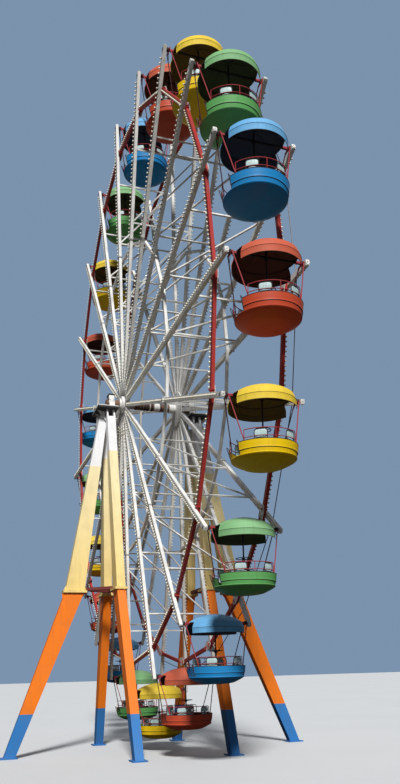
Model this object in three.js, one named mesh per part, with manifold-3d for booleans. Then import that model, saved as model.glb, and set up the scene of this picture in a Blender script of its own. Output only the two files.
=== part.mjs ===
// A 20-cabin ferris wheel, in millimetres, +Z up, with the axle along Y and the wheel in the XZ plane.
// The origin is on the ground under the wheel's centre. The front side is the one towards -Y.
import * as THREE from 'three';
import { mergeVertices } from 'three/addons/utils/BufferGeometryUtils.js';
import Module from 'manifold-3d';

// Driving dimensions of the wheel
const CABIN_COUNT = 20;
const AXLE_HEIGHT = 14000;
const PIN_REACH = 11600; // axle to the pins that carry the cabins
const RIM_REACH = 10520; // axle to the rim's corners
const INNER_RING_REACH = 5960;
const SIDE_Y = 1165; // middle plane of each side of spokes
const SPOKE_WIDTH = 150;
const SPOKE_DEPTH = 110;
const SPOKE_ROOT = 510; // axle to the spokes' inner ends
const SPOKE_END = 110; // how far a spoke runs on past its pin
const RIM_SECTION = 140;
const RING_SECTION = 90;
const RING_DEPTH = 100;
const TIE_REACHES = [4100, 6700, 9200]; // where each pair of spokes is tied across
const TIE_SECTION = 50;
const ROPE_REACH = 10900;
const ROPE_SECTION = 30;

// Driving dimensions of the axle and its bearings
const SHAFT_RADIUS = 150;
const SHAFT_HALF_LENGTH = 1890;
const HUB_FLANGE = { radius: 690, thickness: 40, coneDepth: 60 };
const HUB_DRUM = { radius: 320, length: 60, noseLength: 80 };
const BEARING_Y = 1690;
const BEARING_DEPTH = 260;
const BEARING_HOUSING = { footHalf: 340, radius: 250, capHalf: 180, capTop: 310 };
const BEARING_LID = { halfLength: 230, halfDepth: 150, thickness: 60 };
const BEARING_PLATE = { halfLength: 640, innerY: 1500, outerY: 2330, thickness: 110 };
const BEARING_FOOT = 13600; // underside of the plate that carries the bearing

// Driving dimensions of the legs
const LEG_THICKNESS = 330;
const LEG_TOP = 13300;
const LEG_BRACKET = { footHalf: 130, headHalf: 55, thickness: 60 }; // the two upright plates on a leg's top
const LEG_WIDTHS = { top: 300, kink: 740, foot: 430 };
const KINK_HEIGHT = 6350;
const SIDE_LEG_Y = 1800;
const SIDE_LEG_REACH = { top: 400, kink: 1200, foot: 3550 };
const OUTWARD_LEG_REACH = { top: 2050, kink: 3320, foot: 5940 };
const LEG_FLANGE = { margin: 90, thickness: 90 };
const FOOT_PLATE = { margin: 110, thickness: 50 };
const LEG_TIE_SECTION = 120;
const LEG_TIE_STANDOFF = 40; // distance kept from the columns, which lean in above the flanges

// Driving dimensions of a cabin, measured from its pin
const SKIN = 25;
const CANOPY_TOP = 300;
const CANOPY_CREASE = { radius: 680, height: 170 };
const CANOPY_BROW = { radius: 860, height: 20 };
const CEILING = { radius: 780, height: 25 }; // the canopy's ceiling, seated on the beam
const SKIRT = { radius: 935, top: -160, bottom: -340 };
const NOTCH = { width: 700, top: 0, reachIn: 250 }; // the skirt's gap at each end of the beam
const TUB_RIM = { radius: 945, height: -1370 };
const TUB_SHOULDER = { radius: 880, height: -1730 };
const TUB_FLOOR = { radius: 600, height: -1910 };
const TUB_BOTTOM = -1945;
const ENTRY_WIDTH = 740;
const BEAM_SECTION = 70;
const PIN_RADIUS = 35;
const PIN_OVERHANG = 20; // how far a pin's end stands out of its spoke
const HANGER_SECTION = 50;
const HANGER_HEAD = { x: 150, y: 1030, height: -50 };
const HANGER_FOOT = { x: 530, y: 665, height: -1715 }; // in the tub's shoulder
const POST_SECTION = 60;
const RAIL = { radius: 915, section: 36, height: -1090 };
const SEAT = { width: 380, thickness: 40, front: 560, back: 890, panTop: -1490, backTop: -1080 };

// Distances that the real joints leave open
const SEAT_GAP = 0.3; // between pieces that rest against each other
const RUNNING_GAP = 0.45; // between a turning pin and its bore

// Paint
const WHITE = { color: 0xf1efe8, roughness: 0.45, metalness: 0.1 };
const CREAM = { color: 0xf3e3a6, roughness: 0.5, metalness: 0.1 };
const RED = { color: 0xb02a2c, roughness: 0.45, metalness: 0.1 };
const RUSTY = { color: 0x5f3a2a, roughness: 0.75, metalness: 0.4 };
const DARK = { color: 0x2b2a2c, roughness: 0.7, metalness: 0.2 };
const CABIN_PAINTS = [0x2f92dc, 0xd9532f, 0xf2c200, 0x46a652];

// Worked out from the driving dimensions
const STEP_ANGLE = 2 * Math.PI / CABIN_COUNT;
const SPOKE_INNER_FACE = SIDE_Y - SPOKE_DEPTH / 2;
const SPOKE_OUTER_FACE = SIDE_Y + SPOKE_DEPTH / 2;
const CABIN_SIDES = 12;
const PIN_SIDES = 8;
const SHAFT_SIDES = 16;

const wasm = await Module();
wasm.setup();

// Solids from closed geometries, and back
function solid(geometry) {
  const bare = geometry.clone();
  bare.deleteAttribute('normal');
  bare.deleteAttribute('uv');
  const merged = mergeVertices(bare, 0.01);
  const corners = merged.index.array;
  const triangles = [];
  for (let i = 0; i < corners.length; i += 3) {
    const [a, b, c] = corners.subarray(i, i + 3);
    const flat = a === b || b === c || c === a;
    if (!flat) triangles.push(a, b, c);
  }
  const mesh = new wasm.Mesh({
    numProp: 3,
    vertProperties: merged.attributes.position.array,
    triVerts: Uint32Array.from(triangles),
  });
  return new wasm.Manifold(mesh);
}

function fused(geometries) {
  return geometries.map(solid).reduce((whole, piece) => whole.add(piece));
}

function geometryOf(body) {
  const { vertProperties, triVerts } = body.getMesh();
  const geometry = new THREE.BufferGeometry();
  geometry.setAttribute('position', new THREE.BufferAttribute(Float32Array.from(vertProperties), 3));
  geometry.setIndex(new THREE.BufferAttribute(Uint32Array.from(triVerts), 1));
  return geometry;
}

function box(low, high) {
  const [x, y, z] = high.map((value, axis) => value - low[axis]);
  const middle = high.map((value, axis) => (value + low[axis]) / 2);
  return new THREE.BoxGeometry(x, y, z).translate(...middle);
}

function outline(points) {
  return new THREE.Shape(points.map(([x, y]) => new THREE.Vector2(x, y)));
}

// A round hole of the given clear radius, as a polygon around a point of an outline
function bore(clear, sides, x, y) {
  const half = Math.PI / sides;
  const radius = clear / Math.cos(half);
  return new THREE.Path(Array.from({ length: sides }, (_, i) => {
    const angle = (2 * i + 1) * half;
    return new THREE.Vector2(x + radius * Math.cos(angle), y + radius * Math.sin(angle));
  }));
}

// A plate that stands in the XZ plane, with its thickness centred on y = 0
function standingPlate(shape, thickness) {
  const geometry = new THREE.ExtrudeGeometry(shape, { depth: thickness, bevelEnabled: false });
  return geometry.rotateX(Math.PI / 2).translate(0, thickness / 2, 0);
}

// A ring or disc turned about the Y axis, from [radius, y] points
function turned(profile, sides) {
  return new THREE.LatheGeometry(profile.map(([r, y]) => new THREE.Vector2(r, y)), sides);
}

// A polygonal shell turned about the Z axis, with its flats at the given radii and one flat facing +X
function turnedUpright(profile, sides) {
  const stretch = 1 / Math.cos(Math.PI / sides);
  const points = profile.map(([r, z]) => new THREE.Vector2(r * stretch, z));
  return new THREE.LatheGeometry(points, sides, Math.PI / sides).rotateX(Math.PI / 2);
}

// A square bar between two points
function bar(from, to, section) {
  const start = new THREE.Vector3(...from);
  const way = new THREE.Vector3(...to).sub(start);
  const geometry = new THREE.BoxGeometry(section, section, way.length());
  const up = new THREE.Vector3(0, 0, 1);
  const turn = new THREE.Quaternion().setFromUnitVectors(up, way.clone().normalize());
  return geometry.applyQuaternion(turn).translate(...start.addScaledVector(way, 0.5).toArray());
}

const ferrisWheel = new THREE.Group();
const wheel = new THREE.Group();
wheel.position.z = AXLE_HEIGHT;
ferrisWheel.add(wheel);

function addPiece(parent, name, geometry, paint) {
  const piece = new THREE.Mesh(geometry, new THREE.MeshStandardMaterial(paint));
  piece.name = name;
  parent.add(piece);
  return piece;
}

// Spokes: a front and a back spoke tied across into one ladder, each bored for the cabin's pin
function spokeOutline() {
  const half = SPOKE_WIDTH / 2;
  const end = PIN_REACH + SPOKE_END;
  const shape = outline([[-half, SPOKE_ROOT], [half, SPOKE_ROOT], [half, end], [-half, end]]);
  shape.holes.push(bore(PIN_RADIUS + RUNNING_GAP, PIN_SIDES, 0, PIN_REACH));
  return shape;
}

function spokeFrame() {
  const spoke = standingPlate(spokeOutline(), SPOKE_DEPTH);
  const sides = [-SIDE_Y, SIDE_Y].map((y) => spoke.clone().translate(0, y, 0));
  const ties = TIE_REACHES.map((z) => bar([0, -SIDE_Y, z], [0, SIDE_Y, z], TIE_SECTION));
  const bays = [TIE_REACHES.slice(0, 2), TIE_REACHES.slice(1)];
  const braces = bays.map(([near, far]) => bar([0, -SIDE_Y, near], [0, SIDE_Y, far], TIE_SECTION));
  return geometryOf(fused([...sides, ...ties, ...braces]));
}

// Rims and inner rings: polygons bolted to the inner faces of the spokes
function sideRing(reach, section, side) {
  const outerFace = side * (SPOKE_INNER_FACE - SEAT_GAP);
  const innerFace = outerFace - side * RING_DEPTH;
  const [low, high] = [Math.min(outerFace, innerFace), Math.max(outerFace, innerFace)];
  const [inner, outer] = [reach - section / 2, reach + section / 2];
  return turned([[outer, low], [outer, high], [inner, high], [inner, low], [outer, low]], CABIN_COUNT);
}

function driveRope() {
  const low = SPOKE_OUTER_FACE + SEAT_GAP;
  const high = low + ROPE_SECTION;
  const [inner, outer] = [ROPE_REACH - ROPE_SECTION / 2, ROPE_REACH + ROPE_SECTION / 2];
  return turned([[outer, low], [outer, high], [inner, high], [inner, low], [outer, low]], CABIN_COUNT);
}

// Hub: a drum on the shaft, with the flange that the spokes' roots are bolted to
function hub(side) {
  const bored = SHAFT_RADIUS + SEAT_GAP;
  const flangeOuter = SPOKE_INNER_FACE - SEAT_GAP;
  const flangeInner = flangeOuter - HUB_FLANGE.thickness;
  const backEnd = flangeInner - HUB_FLANGE.coneDepth;
  const drumEnd = SPOKE_OUTER_FACE + HUB_DRUM.length;
  const geometry = turned([
    [bored, backEnd], [HUB_FLANGE.radius, flangeInner], [HUB_FLANGE.radius, flangeOuter],
    [HUB_DRUM.radius, flangeOuter], [HUB_DRUM.radius, drumEnd], [bored, drumEnd + HUB_DRUM.noseLength],
    [bored, backEnd],
  ], SHAFT_SIDES);
  return side > 0 ? geometry : geometry.rotateX(Math.PI);
}

// Bearing: a housing with a lid, on the base plate that the legs carry, with a bore that the shaft turns in
function bearing() {
  const { footHalf, radius, capHalf, capTop } = BEARING_HOUSING;
  const foot = BEARING_FOOT + BEARING_PLATE.thickness / 2;
  const top = AXLE_HEIGHT + capTop;
  const shape = outline([
    [-footHalf, foot], [footHalf, foot], [radius, AXLE_HEIGHT], [capHalf, top], [-capHalf, top],
    [-radius, AXLE_HEIGHT],
  ]);
  shape.holes.push(bore(SHAFT_RADIUS + RUNNING_GAP, 2 * SHAFT_SIDES, 0, AXLE_HEIGHT));
  const housing = standingPlate(shape, BEARING_DEPTH).translate(0, -BEARING_Y, 0);
  const lidRise = BEARING_LID.thickness / 2;
  const lid = box(
    [-BEARING_LID.halfLength, -BEARING_Y - BEARING_LID.halfDepth, top - lidRise],
    [BEARING_LID.halfLength, -BEARING_Y + BEARING_LID.halfDepth, top + lidRise],
  );
  const { halfLength, innerY, outerY, thickness } = BEARING_PLATE;
  const plate = box([-halfLength, -outerY, BEARING_FOOT], [halfLength, -innerY, BEARING_FOOT + thickness]);
  return geometryOf(fused([housing, lid, plate]));
}

// Legs: a kinked box column that leans towards +X, with two bracket plates on its top, a flange at the
// kink and a plate under the foot
function leg(reach) {
  const column = outline([
    [reach.top + LEG_WIDTHS.top / 2, LEG_TOP], [reach.top - LEG_WIDTHS.top / 2, LEG_TOP],
    [reach.kink - LEG_WIDTHS.kink / 2, KINK_HEIGHT], [reach.foot - LEG_WIDTHS.foot / 2, 0],
    [reach.foot + LEG_WIDTHS.foot / 2, 0], [reach.kink + LEG_WIDTHS.kink / 2, KINK_HEIGHT],
  ]);
  const { footHalf, headHalf, thickness } = LEG_BRACKET;
  const bracketTop = BEARING_FOOT - SEAT_GAP;
  const bracketShape = outline([
    [reach.top - footHalf, LEG_TOP - thickness], [reach.top + footHalf, LEG_TOP - thickness],
    [reach.top + headHalf, bracketTop], [reach.top - headHalf, bracketTop],
  ]);
  const bracketY = (LEG_THICKNESS - thickness) / 2;
  const bracket = standingPlate(bracketShape, thickness);
  const brackets = [-bracketY, bracketY].map((y) => bracket.clone().translate(0, y, 0));
  const collar = (at, width, margin, low, high) => box(
    [at - width / 2 - margin, -LEG_THICKNESS / 2 - margin, low],
    [at + width / 2 + margin, LEG_THICKNESS / 2 + margin, high],
  );
  const [flangeLow, flangeTop] = [-1, 1].map((way) => KINK_HEIGHT + way * LEG_FLANGE.thickness / 2);
  const flange = collar(reach.kink, LEG_WIDTHS.kink, LEG_FLANGE.margin, flangeLow, flangeTop);
  const foot = collar(reach.foot, LEG_WIDTHS.foot, FOOT_PLATE.margin, 0, FOOT_PLATE.thickness);
  return geometryOf(fused([standingPlate(column, LEG_THICKNESS), ...brackets, flange, foot]));
}

// Leg ties: a flat triangle that rests on the flanges of one side's three legs
function legTies() {
  const endX = SIDE_LEG_REACH.kink - LEG_WIDTHS.kink / 2 - LEG_TIE_STANDOFF;
  const endY = -(OUTWARD_LEG_REACH.kink - LEG_WIDTHS.kink / 2 - LEG_TIE_STANDOFF);
  const half = LEG_TIE_SECTION / 2;
  const near = -SIDE_LEG_Y + half;
  const far = -SIDE_LEG_Y - half;
  const shape = outline([
    [-endX, near], [-endX, far], [-half, endY], [half, endY], [endX, far], [endX, near],
  ]);
  const inset = 2 * LEG_TIE_SECTION;
  const opening = outline([[-endX + inset, far], [0, endY + inset], [endX - inset, far]]);
  shape.holes.push(new THREE.Path(opening.getPoints()));
  const low = KINK_HEIGHT + LEG_FLANGE.thickness / 2 + SEAT_GAP;
  const geometry = new THREE.ExtrudeGeometry(shape, { depth: LEG_TIE_SECTION, bevelEnabled: false });
  return geometry.translate(0, 0, low);
}

// Cabin: canopy, tub and seats on one hanging frame, with the pin at the local origin
function canopy() {
  const inner = SKIRT.radius - SKIN;
  return turnedUpright([
    [0, CEILING.height], [CEILING.radius, CEILING.height], [inner, SKIRT.top], [inner, SKIRT.bottom],
    [SKIRT.radius, SKIRT.bottom], [SKIRT.radius, SKIRT.top], [CANOPY_BROW.radius, CANOPY_BROW.height],
    [CANOPY_CREASE.radius, CANOPY_CREASE.height], [0, CANOPY_TOP],
  ], CABIN_SIDES);
}

function tub() {
  return turnedUpright([
    [0, TUB_BOTTOM], [TUB_FLOOR.radius, TUB_FLOOR.height], [TUB_SHOULDER.radius, TUB_SHOULDER.height],
    [TUB_RIM.radius, TUB_RIM.height], [TUB_RIM.radius - SKIN, TUB_RIM.height],
    [TUB_SHOULDER.radius - SKIN, TUB_SHOULDER.height],
    [TUB_FLOOR.radius, TUB_FLOOR.height + SKIN], [0, TUB_BOTTOM + SKIN],
  ], CABIN_SIDES);
}

function hangingBeam() {
  const shoulder = SPOKE_INNER_FACE - SEAT_GAP;
  const half = BEAM_SECTION / 2;
  const pinLength = 2 * (SPOKE_OUTER_FACE + PIN_OVERHANG);
  const pins = new THREE.CylinderGeometry(PIN_RADIUS, PIN_RADIUS, pinLength, PIN_SIDES);
  return [box([-half, -shoulder, -half], [half, shoulder, half]), pins];
}

// Hanger: a cross bar under one end of the beam, with two legs that splay down to the tub's shoulder
function hanger() {
  const half = HANGER_SECTION / 2;
  const drop = Math.hypot(HANGER_HEAD.height - HANGER_FOOT.height, HANGER_HEAD.y - HANGER_FOOT.y);
  const lean = Math.atan2(HANGER_HEAD.y - HANGER_FOOT.y, HANGER_HEAD.height - HANGER_FOOT.height);
  const [head, foot] = [HANGER_HEAD.x, HANGER_FOOT.x];
  const shape = outline([
    [head + half, half], [-head - half, half], [-foot - half, -drop], [-foot + half, -drop],
    [-head + half, -half], [head - half, -half], [foot - half, -drop], [foot + half, -drop],
  ]);
  const upright = standingPlate(shape, HANGER_SECTION);
  return upright.rotateX(lean).translate(0, -HANGER_HEAD.y, HANGER_HEAD.height);
}

function rail() {
  const half = RAIL.section / 2;
  const [low, high] = [RAIL.height - half, RAIL.height + half];
  const [inner, outer] = [RAIL.radius - half, RAIL.radius + half];
  const section = [[inner, low], [outer, low], [outer, high], [inner, high], [inner, low]];
  return turnedUpright(section, CABIN_SIDES);
}

function seat(angle) {
  const { width, thickness, front, back, panTop, backTop } = SEAT;
  const wall = (TUB_RIM.radius + TUB_SHOULDER.radius - SKIN) / 2;
  const shape = outline([
    [front, panTop - thickness], [wall, panTop - thickness], [wall, panTop], [back, panTop],
    [back, backTop], [back - thickness, backTop], [back - thickness, panTop], [front, panTop],
  ]);
  return standingPlate(shape, width).rotateZ(angle);
}

function cabin() {
  const beyond = TUB_RIM.radius + 100;
  const below = SKIRT.bottom - 10;
  const notches = [-1, 1].map((side) => {
    const [from, to] = [side * (SKIRT.radius - NOTCH.reachIn), side * beyond].sort((a, b) => a - b);
    return box([-NOTCH.width / 2, from, below], [NOTCH.width / 2, to, NOTCH.top]);
  });
  const half = ENTRY_WIDTH / 2;
  const entry = box([-half, -beyond, TUB_SHOULDER.height], [half, -TUB_FLOOR.radius, SKIRT.bottom]);
  const canopyHalves = solid(canopy()).subtract(fused(notches));
  const openTub = fused([tub(), rail()]).subtract(solid(entry));
  const postHalf = POST_SECTION / 2;
  const post = box([-postHalf, -postHalf, TUB_BOTTOM + SKIN / 2], [postHalf, postHalf, 0]);
  const seats = [1, 5, 7, 11].map((twelfth) => seat(twelfth * Math.PI / 6));
  const frame = fused([...hangingBeam(), hanger(), hanger().rotateZ(Math.PI), post, ...seats]);
  return geometryOf(frame.add(canopyHalves).add(openTub));
}

// Assembly
const sharedSpokeFrame = spokeFrame();
const sharedCabin = cabin();
for (let i = 0; i < CABIN_COUNT; i += 1) {
  const number = String(i + 1).padStart(2, '0');
  const angle = i * STEP_ANGLE;
  addPiece(wheel, `spoke_frame_${number}`, sharedSpokeFrame, WHITE).rotation.y = angle;
  const paint = { color: CABIN_PAINTS[i % CABIN_PAINTS.length], roughness: 0.4, metalness: 0 };
  const hung = addPiece(wheel, `cabin_${number}`, sharedCabin, paint);
  hung.position.set(PIN_REACH * Math.sin(angle), 0, PIN_REACH * Math.cos(angle));
}
for (const [side, name] of [[-1, 'front'], [1, 'back']]) {
  addPiece(wheel, `${name}_rim`, sideRing(RIM_REACH, RIM_SECTION, side), RED);
  addPiece(wheel, `${name}_inner_ring`, sideRing(INNER_RING_REACH, RING_SECTION, side), WHITE);
  addPiece(wheel, `${name}_hub`, hub(side), WHITE);
}
addPiece(wheel, 'drive_rope', driveRope(), DARK);
const shaft = new THREE.CylinderGeometry(SHAFT_RADIUS, SHAFT_RADIUS, 2 * SHAFT_HALF_LENGTH, SHAFT_SIDES);
addPiece(wheel, 'axle_shaft', shaft, RUSTY);

// The supports: one side's bearing, legs and ties, and the same turned half round for the back
const sharedSideLeg = leg(SIDE_LEG_REACH);
const sharedOutwardLeg = leg(OUTWARD_LEG_REACH);
function addSupport(name, turn, sideLegNames) {
  const support = new THREE.Group();
  support.rotation.z = turn;
  ferrisWheel.add(support);
  addPiece(support, `${name}_bearing`, bearing(), WHITE);
  addPiece(support, `${name}_leg_ties`, legTies(), DARK);
  sideLegNames.forEach((legName, i) => {
    const sideLeg = addPiece(support, `${name}_${legName}`, sharedSideLeg, CREAM);
    sideLeg.rotation.z = i * Math.PI;
    sideLeg.position.y = -SIDE_LEG_Y;
  });
  addPiece(support, `${name}_outward_leg`, sharedOutwardLeg, CREAM).rotation.z = -Math.PI / 2;
}
addSupport('front', 0, ['right_leg', 'left_leg']);
addSupport('back', Math.PI, ['left_leg', 'right_leg']);

export default ferrisWheel;
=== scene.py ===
"""A 20-cabin ferris wheel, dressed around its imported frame.

Metres, +Z up. The axle lies along Y at AXLE_HEIGHT, and the front side is the one towards -Y.
A cabin's pieces are made around its pin, and then set at the 20 pins. What belongs to a spoke is
made straight above the axle, and then turned to the spoke's direction.
"""

import math

import bmesh
import bpy
from mathutils import Matrix, Vector


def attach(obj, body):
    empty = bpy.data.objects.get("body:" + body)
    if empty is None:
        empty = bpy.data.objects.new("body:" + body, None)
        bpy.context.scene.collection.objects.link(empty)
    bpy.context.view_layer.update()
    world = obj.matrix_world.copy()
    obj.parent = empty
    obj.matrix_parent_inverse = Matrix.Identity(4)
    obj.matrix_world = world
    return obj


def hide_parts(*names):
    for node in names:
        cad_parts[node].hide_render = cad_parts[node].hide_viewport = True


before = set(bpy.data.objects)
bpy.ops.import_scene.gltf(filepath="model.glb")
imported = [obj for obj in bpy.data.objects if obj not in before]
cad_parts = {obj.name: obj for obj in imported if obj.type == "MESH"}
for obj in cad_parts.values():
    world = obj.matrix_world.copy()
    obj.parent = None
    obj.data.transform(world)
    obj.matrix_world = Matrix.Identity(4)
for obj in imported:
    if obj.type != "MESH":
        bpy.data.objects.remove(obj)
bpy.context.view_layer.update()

TURN = 2 * math.pi
QUARTER = math.pi / 2
NEAR_ZERO = 1e-6

# The wheel and its axle
CABIN_COUNT = 20
STEP_ANGLE = TURN / CABIN_COUNT
AXLE_HEIGHT = 14.0
PIN_REACH = 11.6
RIM_REACH = 10.52
RIM_DEPTH = 0.1
RIM_LENGTH = 2 * RIM_REACH * math.sin(STEP_ANGLE / 2)
ROPE_REACH = 10.9
ROPE_Y = 1.2353
ROPE_RADIUS = 0.014
SPOKE_WIDTH = 0.15
SPOKE_INNER_FACE = 1.11
SPOKE_OUTER_FACE = 1.22
SPOKE_TIP = 11.71
SPLICE_REACH = 6.12
SHAFT_RADIUS = 0.15
SHAFT_HALF_LENGTH = 1.89
BEARING_Y = 1.69
BEARING_FOOT = 13.6
BEARING_SEAT = 13.71
SEAT_GAP = 0.0003

# The legs
KINK_HEIGHT = 6.35
FLANGE_HALF = 0.045
SIDE_LEG_Y = 1.8
LEG_THICKNESS = 0.33
KINK_WIDTH = 0.74
FLANGE_MARGIN = 0.09
SIDE_KINK_X = 1.2
OUTWARD_KINK_Y = 3.32

# A cabin, measured from its pin
SHEET = 0.008
SKIRT_RADIUS = 0.933
SKIRT_BOTTOM = -0.335
BROW = (0.86, 0.02)
NOTCH_HALF = 0.34
TUB_RADIUS = 0.936
RIM_HEIGHT = -1.374
BEAD_HEIGHT = -1.595
LIP_HEIGHT = -1.72
FLOOR_HEIGHT = -1.885
ENTRY_HALF = 0.34
BEAM_HALF = 0.034
PIN_RADIUS = 0.034
HANGER_HEAD = Vector((0.15, 1.03, -0.05))
HANGER_FOOT = Vector((0.53, 0.665, -1.715))
RAIL_RADIUS = 0.92
RAIL_HEIGHTS = (-1.09, -1.3)
HANDWHEEL_HEIGHT = -0.88
SEAT_TURNS = (28, 155, 205, 332)


# Shapes, each a list of corners and a list of faces
def turned(profile, segments, start=0.0, sweep=TURN, loop=False):
    """A profile of (radius, z) turned about Z. It runs from axis to axis, or is a closed loop."""
    whole = abs(sweep - TURN) < NEAR_ZERO
    steps = segments if whole else segments + 1
    corners, index = [], {}
    for i in range(steps):
        angle = start + sweep * i / segments
        for j, (radius, z) in enumerate(profile):
            if radius < NEAR_ZERO and i > 0:
                index[i, j] = index[0, j]
                continue
            index[i, j] = len(corners)
            corners.append((radius * math.cos(angle), radius * math.sin(angle), z))
    faces = []
    count = len(profile)
    for i in range(segments):
        k = (i + 1) % steps
        for j in range(count if loop else count - 1):
            m = (j + 1) % count
            ring = [index[i, j], index[k, j], index[k, m], index[i, m]]
            face = [v for n, v in enumerate(ring) if v != ring[n - 1]]
            if len(set(face)) > 2:
                faces.append(face)
    if not whole:
        faces.append([index[0, j] for j in range(count)])
        faces.append([index[segments, j] for j in reversed(range(count))])
    return corners, faces


def tube(path, radius, sides=8, closed=False):
    """A round bar along a path, with flat ends."""
    points = [Vector(p) for p in path]
    count = len(points)
    ahead = []
    for i in range(count):
        before = points[i - 1] if closed or i > 0 else points[i]
        after = points[(i + 1) % count] if closed or i < count - 1 else points[i]
        ahead.append((after - before).normalized())
    side = ahead[0].orthogonal().normalized()
    corners = []
    for point, way in zip(points, ahead):
        side = (side - side.dot(way) * way).normalized()
        third = way.cross(side)
        for s in range(sides):
            angle = TURN * s / sides
            corners.append(point + radius * (math.cos(angle) * side + math.sin(angle) * third))
    faces = []
    for i in range(count if closed else count - 1):
        a, b = i * sides, (i + 1) % count * sides
        faces += [[a + s, a + (s + 1) % sides, b + (s + 1) % sides, b + s] for s in range(sides)]
    if not closed:
        faces.append(list(reversed(range(sides))))
        faces.append([(count - 1) * sides + s for s in range(sides)])
    return corners, faces


def block(low, high, chamfer=0.006):
    """A box with its edges chamfered."""
    low, high = Vector(low), Vector(high)
    solid = bmesh.new()
    bmesh.ops.create_cube(solid, size=1)
    for corner in solid.verts:
        corner.co = Vector(high[a] if corner.co[a] > 0 else low[a] for a in range(3))
    bmesh.ops.bevel(solid, geom=solid.edges[:], offset=chamfer, segments=1, affect="EDGES")
    solid.verts.index_update()
    shape = [v.co.copy() for v in solid.verts], [[v.index for v in f.verts] for f in solid.faces]
    solid.free()
    return shape


def plate(outline, low, high):
    """A flat plate from an outline in the XZ plane, between two heights along Y."""
    count = len(outline)
    corners = [(x, y, z) for y in (low, high) for x, z in outline]
    faces = [list(range(count)), [count + i for i in reversed(range(count))]]
    faces += [[i, i + count, (i + 1) % count + count, (i + 1) % count] for i in range(count)]
    return corners, faces


def bolt(radius, height):
    """A hexagon bolt head that stands on z = 0, on its washer."""
    washer, washer_top = 1.35 * radius, 0.2 * height
    crown, crown_foot = 0.8 * radius, 0.9 * height
    return turned([
        (0, 0), (washer, 0), (washer, washer_top), (radius, washer_top), (radius, crown_foot),
        (crown, height), (0, height),
    ], 6)


def rounded(points, radius, steps=4):
    """The path with each inner corner bent to an arc-like curve, over less than half of each length."""
    most = 0.45
    points = [Vector(p) for p in points]
    path = [points[0]]
    for before, corner, after in zip(points, points[1:], points[2:]):
        reach_in = min(radius, most * (corner - before).length)
        reach_out = min(radius, most * (after - corner).length)
        start = corner + reach_in * (before - corner).normalized()
        end = corner + reach_out * (after - corner).normalized()
        for s in range(steps + 1):
            t = s / steps
            path.append((1 - t) ** 2 * start + 2 * t * (1 - t) * corner + t ** 2 * end)
    return path + [points[-1]]


def radial(angle, radius, z):
    """A point at an angle and a radius about Z."""
    return Vector((radius * math.cos(angle), radius * math.sin(angle), z))


def arc(radius, z, start, end, steps):
    """A level path about Z, from one angle to another."""
    return [radial(start + (end - start) * i / steps, radius, z) for i in range(steps + 1)]


def facing(position, way):
    """Places a shape that stands on z = 0 at a position, pointing along a way."""
    turn = Vector(way).to_track_quat("Z", "Y").to_matrix().to_4x4()
    return Matrix.Translation(position) @ turn


def around_axle(angle):
    """Turns a shape made above the axle to a spoke's direction."""
    return Matrix.Translation((0, 0, AXLE_HEIGHT)) @ Matrix.Rotation(angle, 4, "Y")


def on_shaft(side=1):
    """Lays a shape made along Z on the axle's line, with its top towards the side given."""
    return Matrix.Translation((0, 0, AXLE_HEIGHT)) @ Matrix.Rotation(-side * QUARTER, 4, "X")


class Making:
    """The corners and faces of one piece, gathered shape by shape, each with its finish's number."""

    def __init__(self):
        self.corners = []
        self.faces = []
        self.finish_of = []

    def add(self, shape, finish=0, at=None):
        """Takes a shape in, turned and moved where a matrix is given."""
        corners, faces = shape
        first = len(self.corners)
        self.corners += [at @ Vector(c) for c in corners] if at else list(corners)
        self.faces += [[first + i for i in face] for face in faces]
        self.finish_of += [finish] * len(faces)

    def mesh(self, name, finishes, sharp_angle=32):
        """The gathered shapes as one mesh, smooth but for the edges sharper than the angle."""
        mesh = bpy.data.meshes.new(name)
        mesh.from_pydata(self.corners, [], self.faces)
        for finish in finishes:
            mesh.materials.append(finish)
        mesh.polygons.foreach_set("material_index", self.finish_of)
        solid = bmesh.new()
        solid.from_mesh(mesh)
        bmesh.ops.recalc_face_normals(solid, faces=solid.faces[:])
        solid.to_mesh(mesh)
        solid.free()
        mesh.polygons.foreach_set("use_smooth", [True] * len(mesh.polygons))
        mesh.set_sharp_from_angle(angle=math.radians(sharp_angle))
        return mesh

    def place(self, name, finishes, body, slot=None, sharp_angle=32):
        """The gathered shapes as a piece that rides on a body."""
        return placed(name, self.mesh(name, finishes, sharp_angle), body)


def placed(name, mesh, body, location=(0, 0, 0)):
    """A piece in the scene that rides on a body."""
    piece = bpy.data.objects.new(name, mesh)
    piece.location = location
    bpy.context.scene.collection.objects.link(piece)
    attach(piece, body)
    return piece


# Finishes
def node(tree, kind, feeds=None, **settings):
    """A new shader node, with its inputs linked to sockets or set to values."""
    made = tree.nodes.new(kind)
    for key, value in settings.items():
        setattr(made, key, value)
    for socket, value in (feeds or {}).items():
        if isinstance(value, bpy.types.NodeSocket):
            tree.links.new(value, made.inputs[socket])
        else:
            made.inputs[socket].default_value = value
    return made


def mixed(tree, share, first, second):
    """The first colour where the share is 0, and the second where it is 1."""
    return node(tree, "ShaderNodeMix", {0: share, 6: first, 7: second}, data_type="RGBA").outputs[2]


def between(tree, value, low, high, out_low=0.0, out_high=1.0):
    """A value's place between two limits, as a number between two others."""
    feeds = {0: value, 1: low, 2: high, 3: out_low, 4: out_high}
    return node(tree, "ShaderNodeMapRange", feeds).outputs[0]


def above(tree, value, limit, half=0.001):
    """1 above a limit and 0 below it, over a hair's breadth."""
    return between(tree, value, limit - half, limit + half)


def maths(tree, operation, first, second=0.0):
    return node(tree, "ShaderNodeMath", {0: first, 1: second}, operation=operation).outputs[0]


def noise(tree, place, scale, detail=3.0, roughness=0.55):
    feeds = {"Vector": place, "Scale": scale, "Detail": detail, "Roughness": roughness}
    return node(tree, "ShaderNodeTexNoise", feeds).outputs["Fac"]


def stretched(tree, place, scale):
    return node(tree, "ShaderNodeMapping", {"Vector": place, "Scale": scale}).outputs[0]


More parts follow.
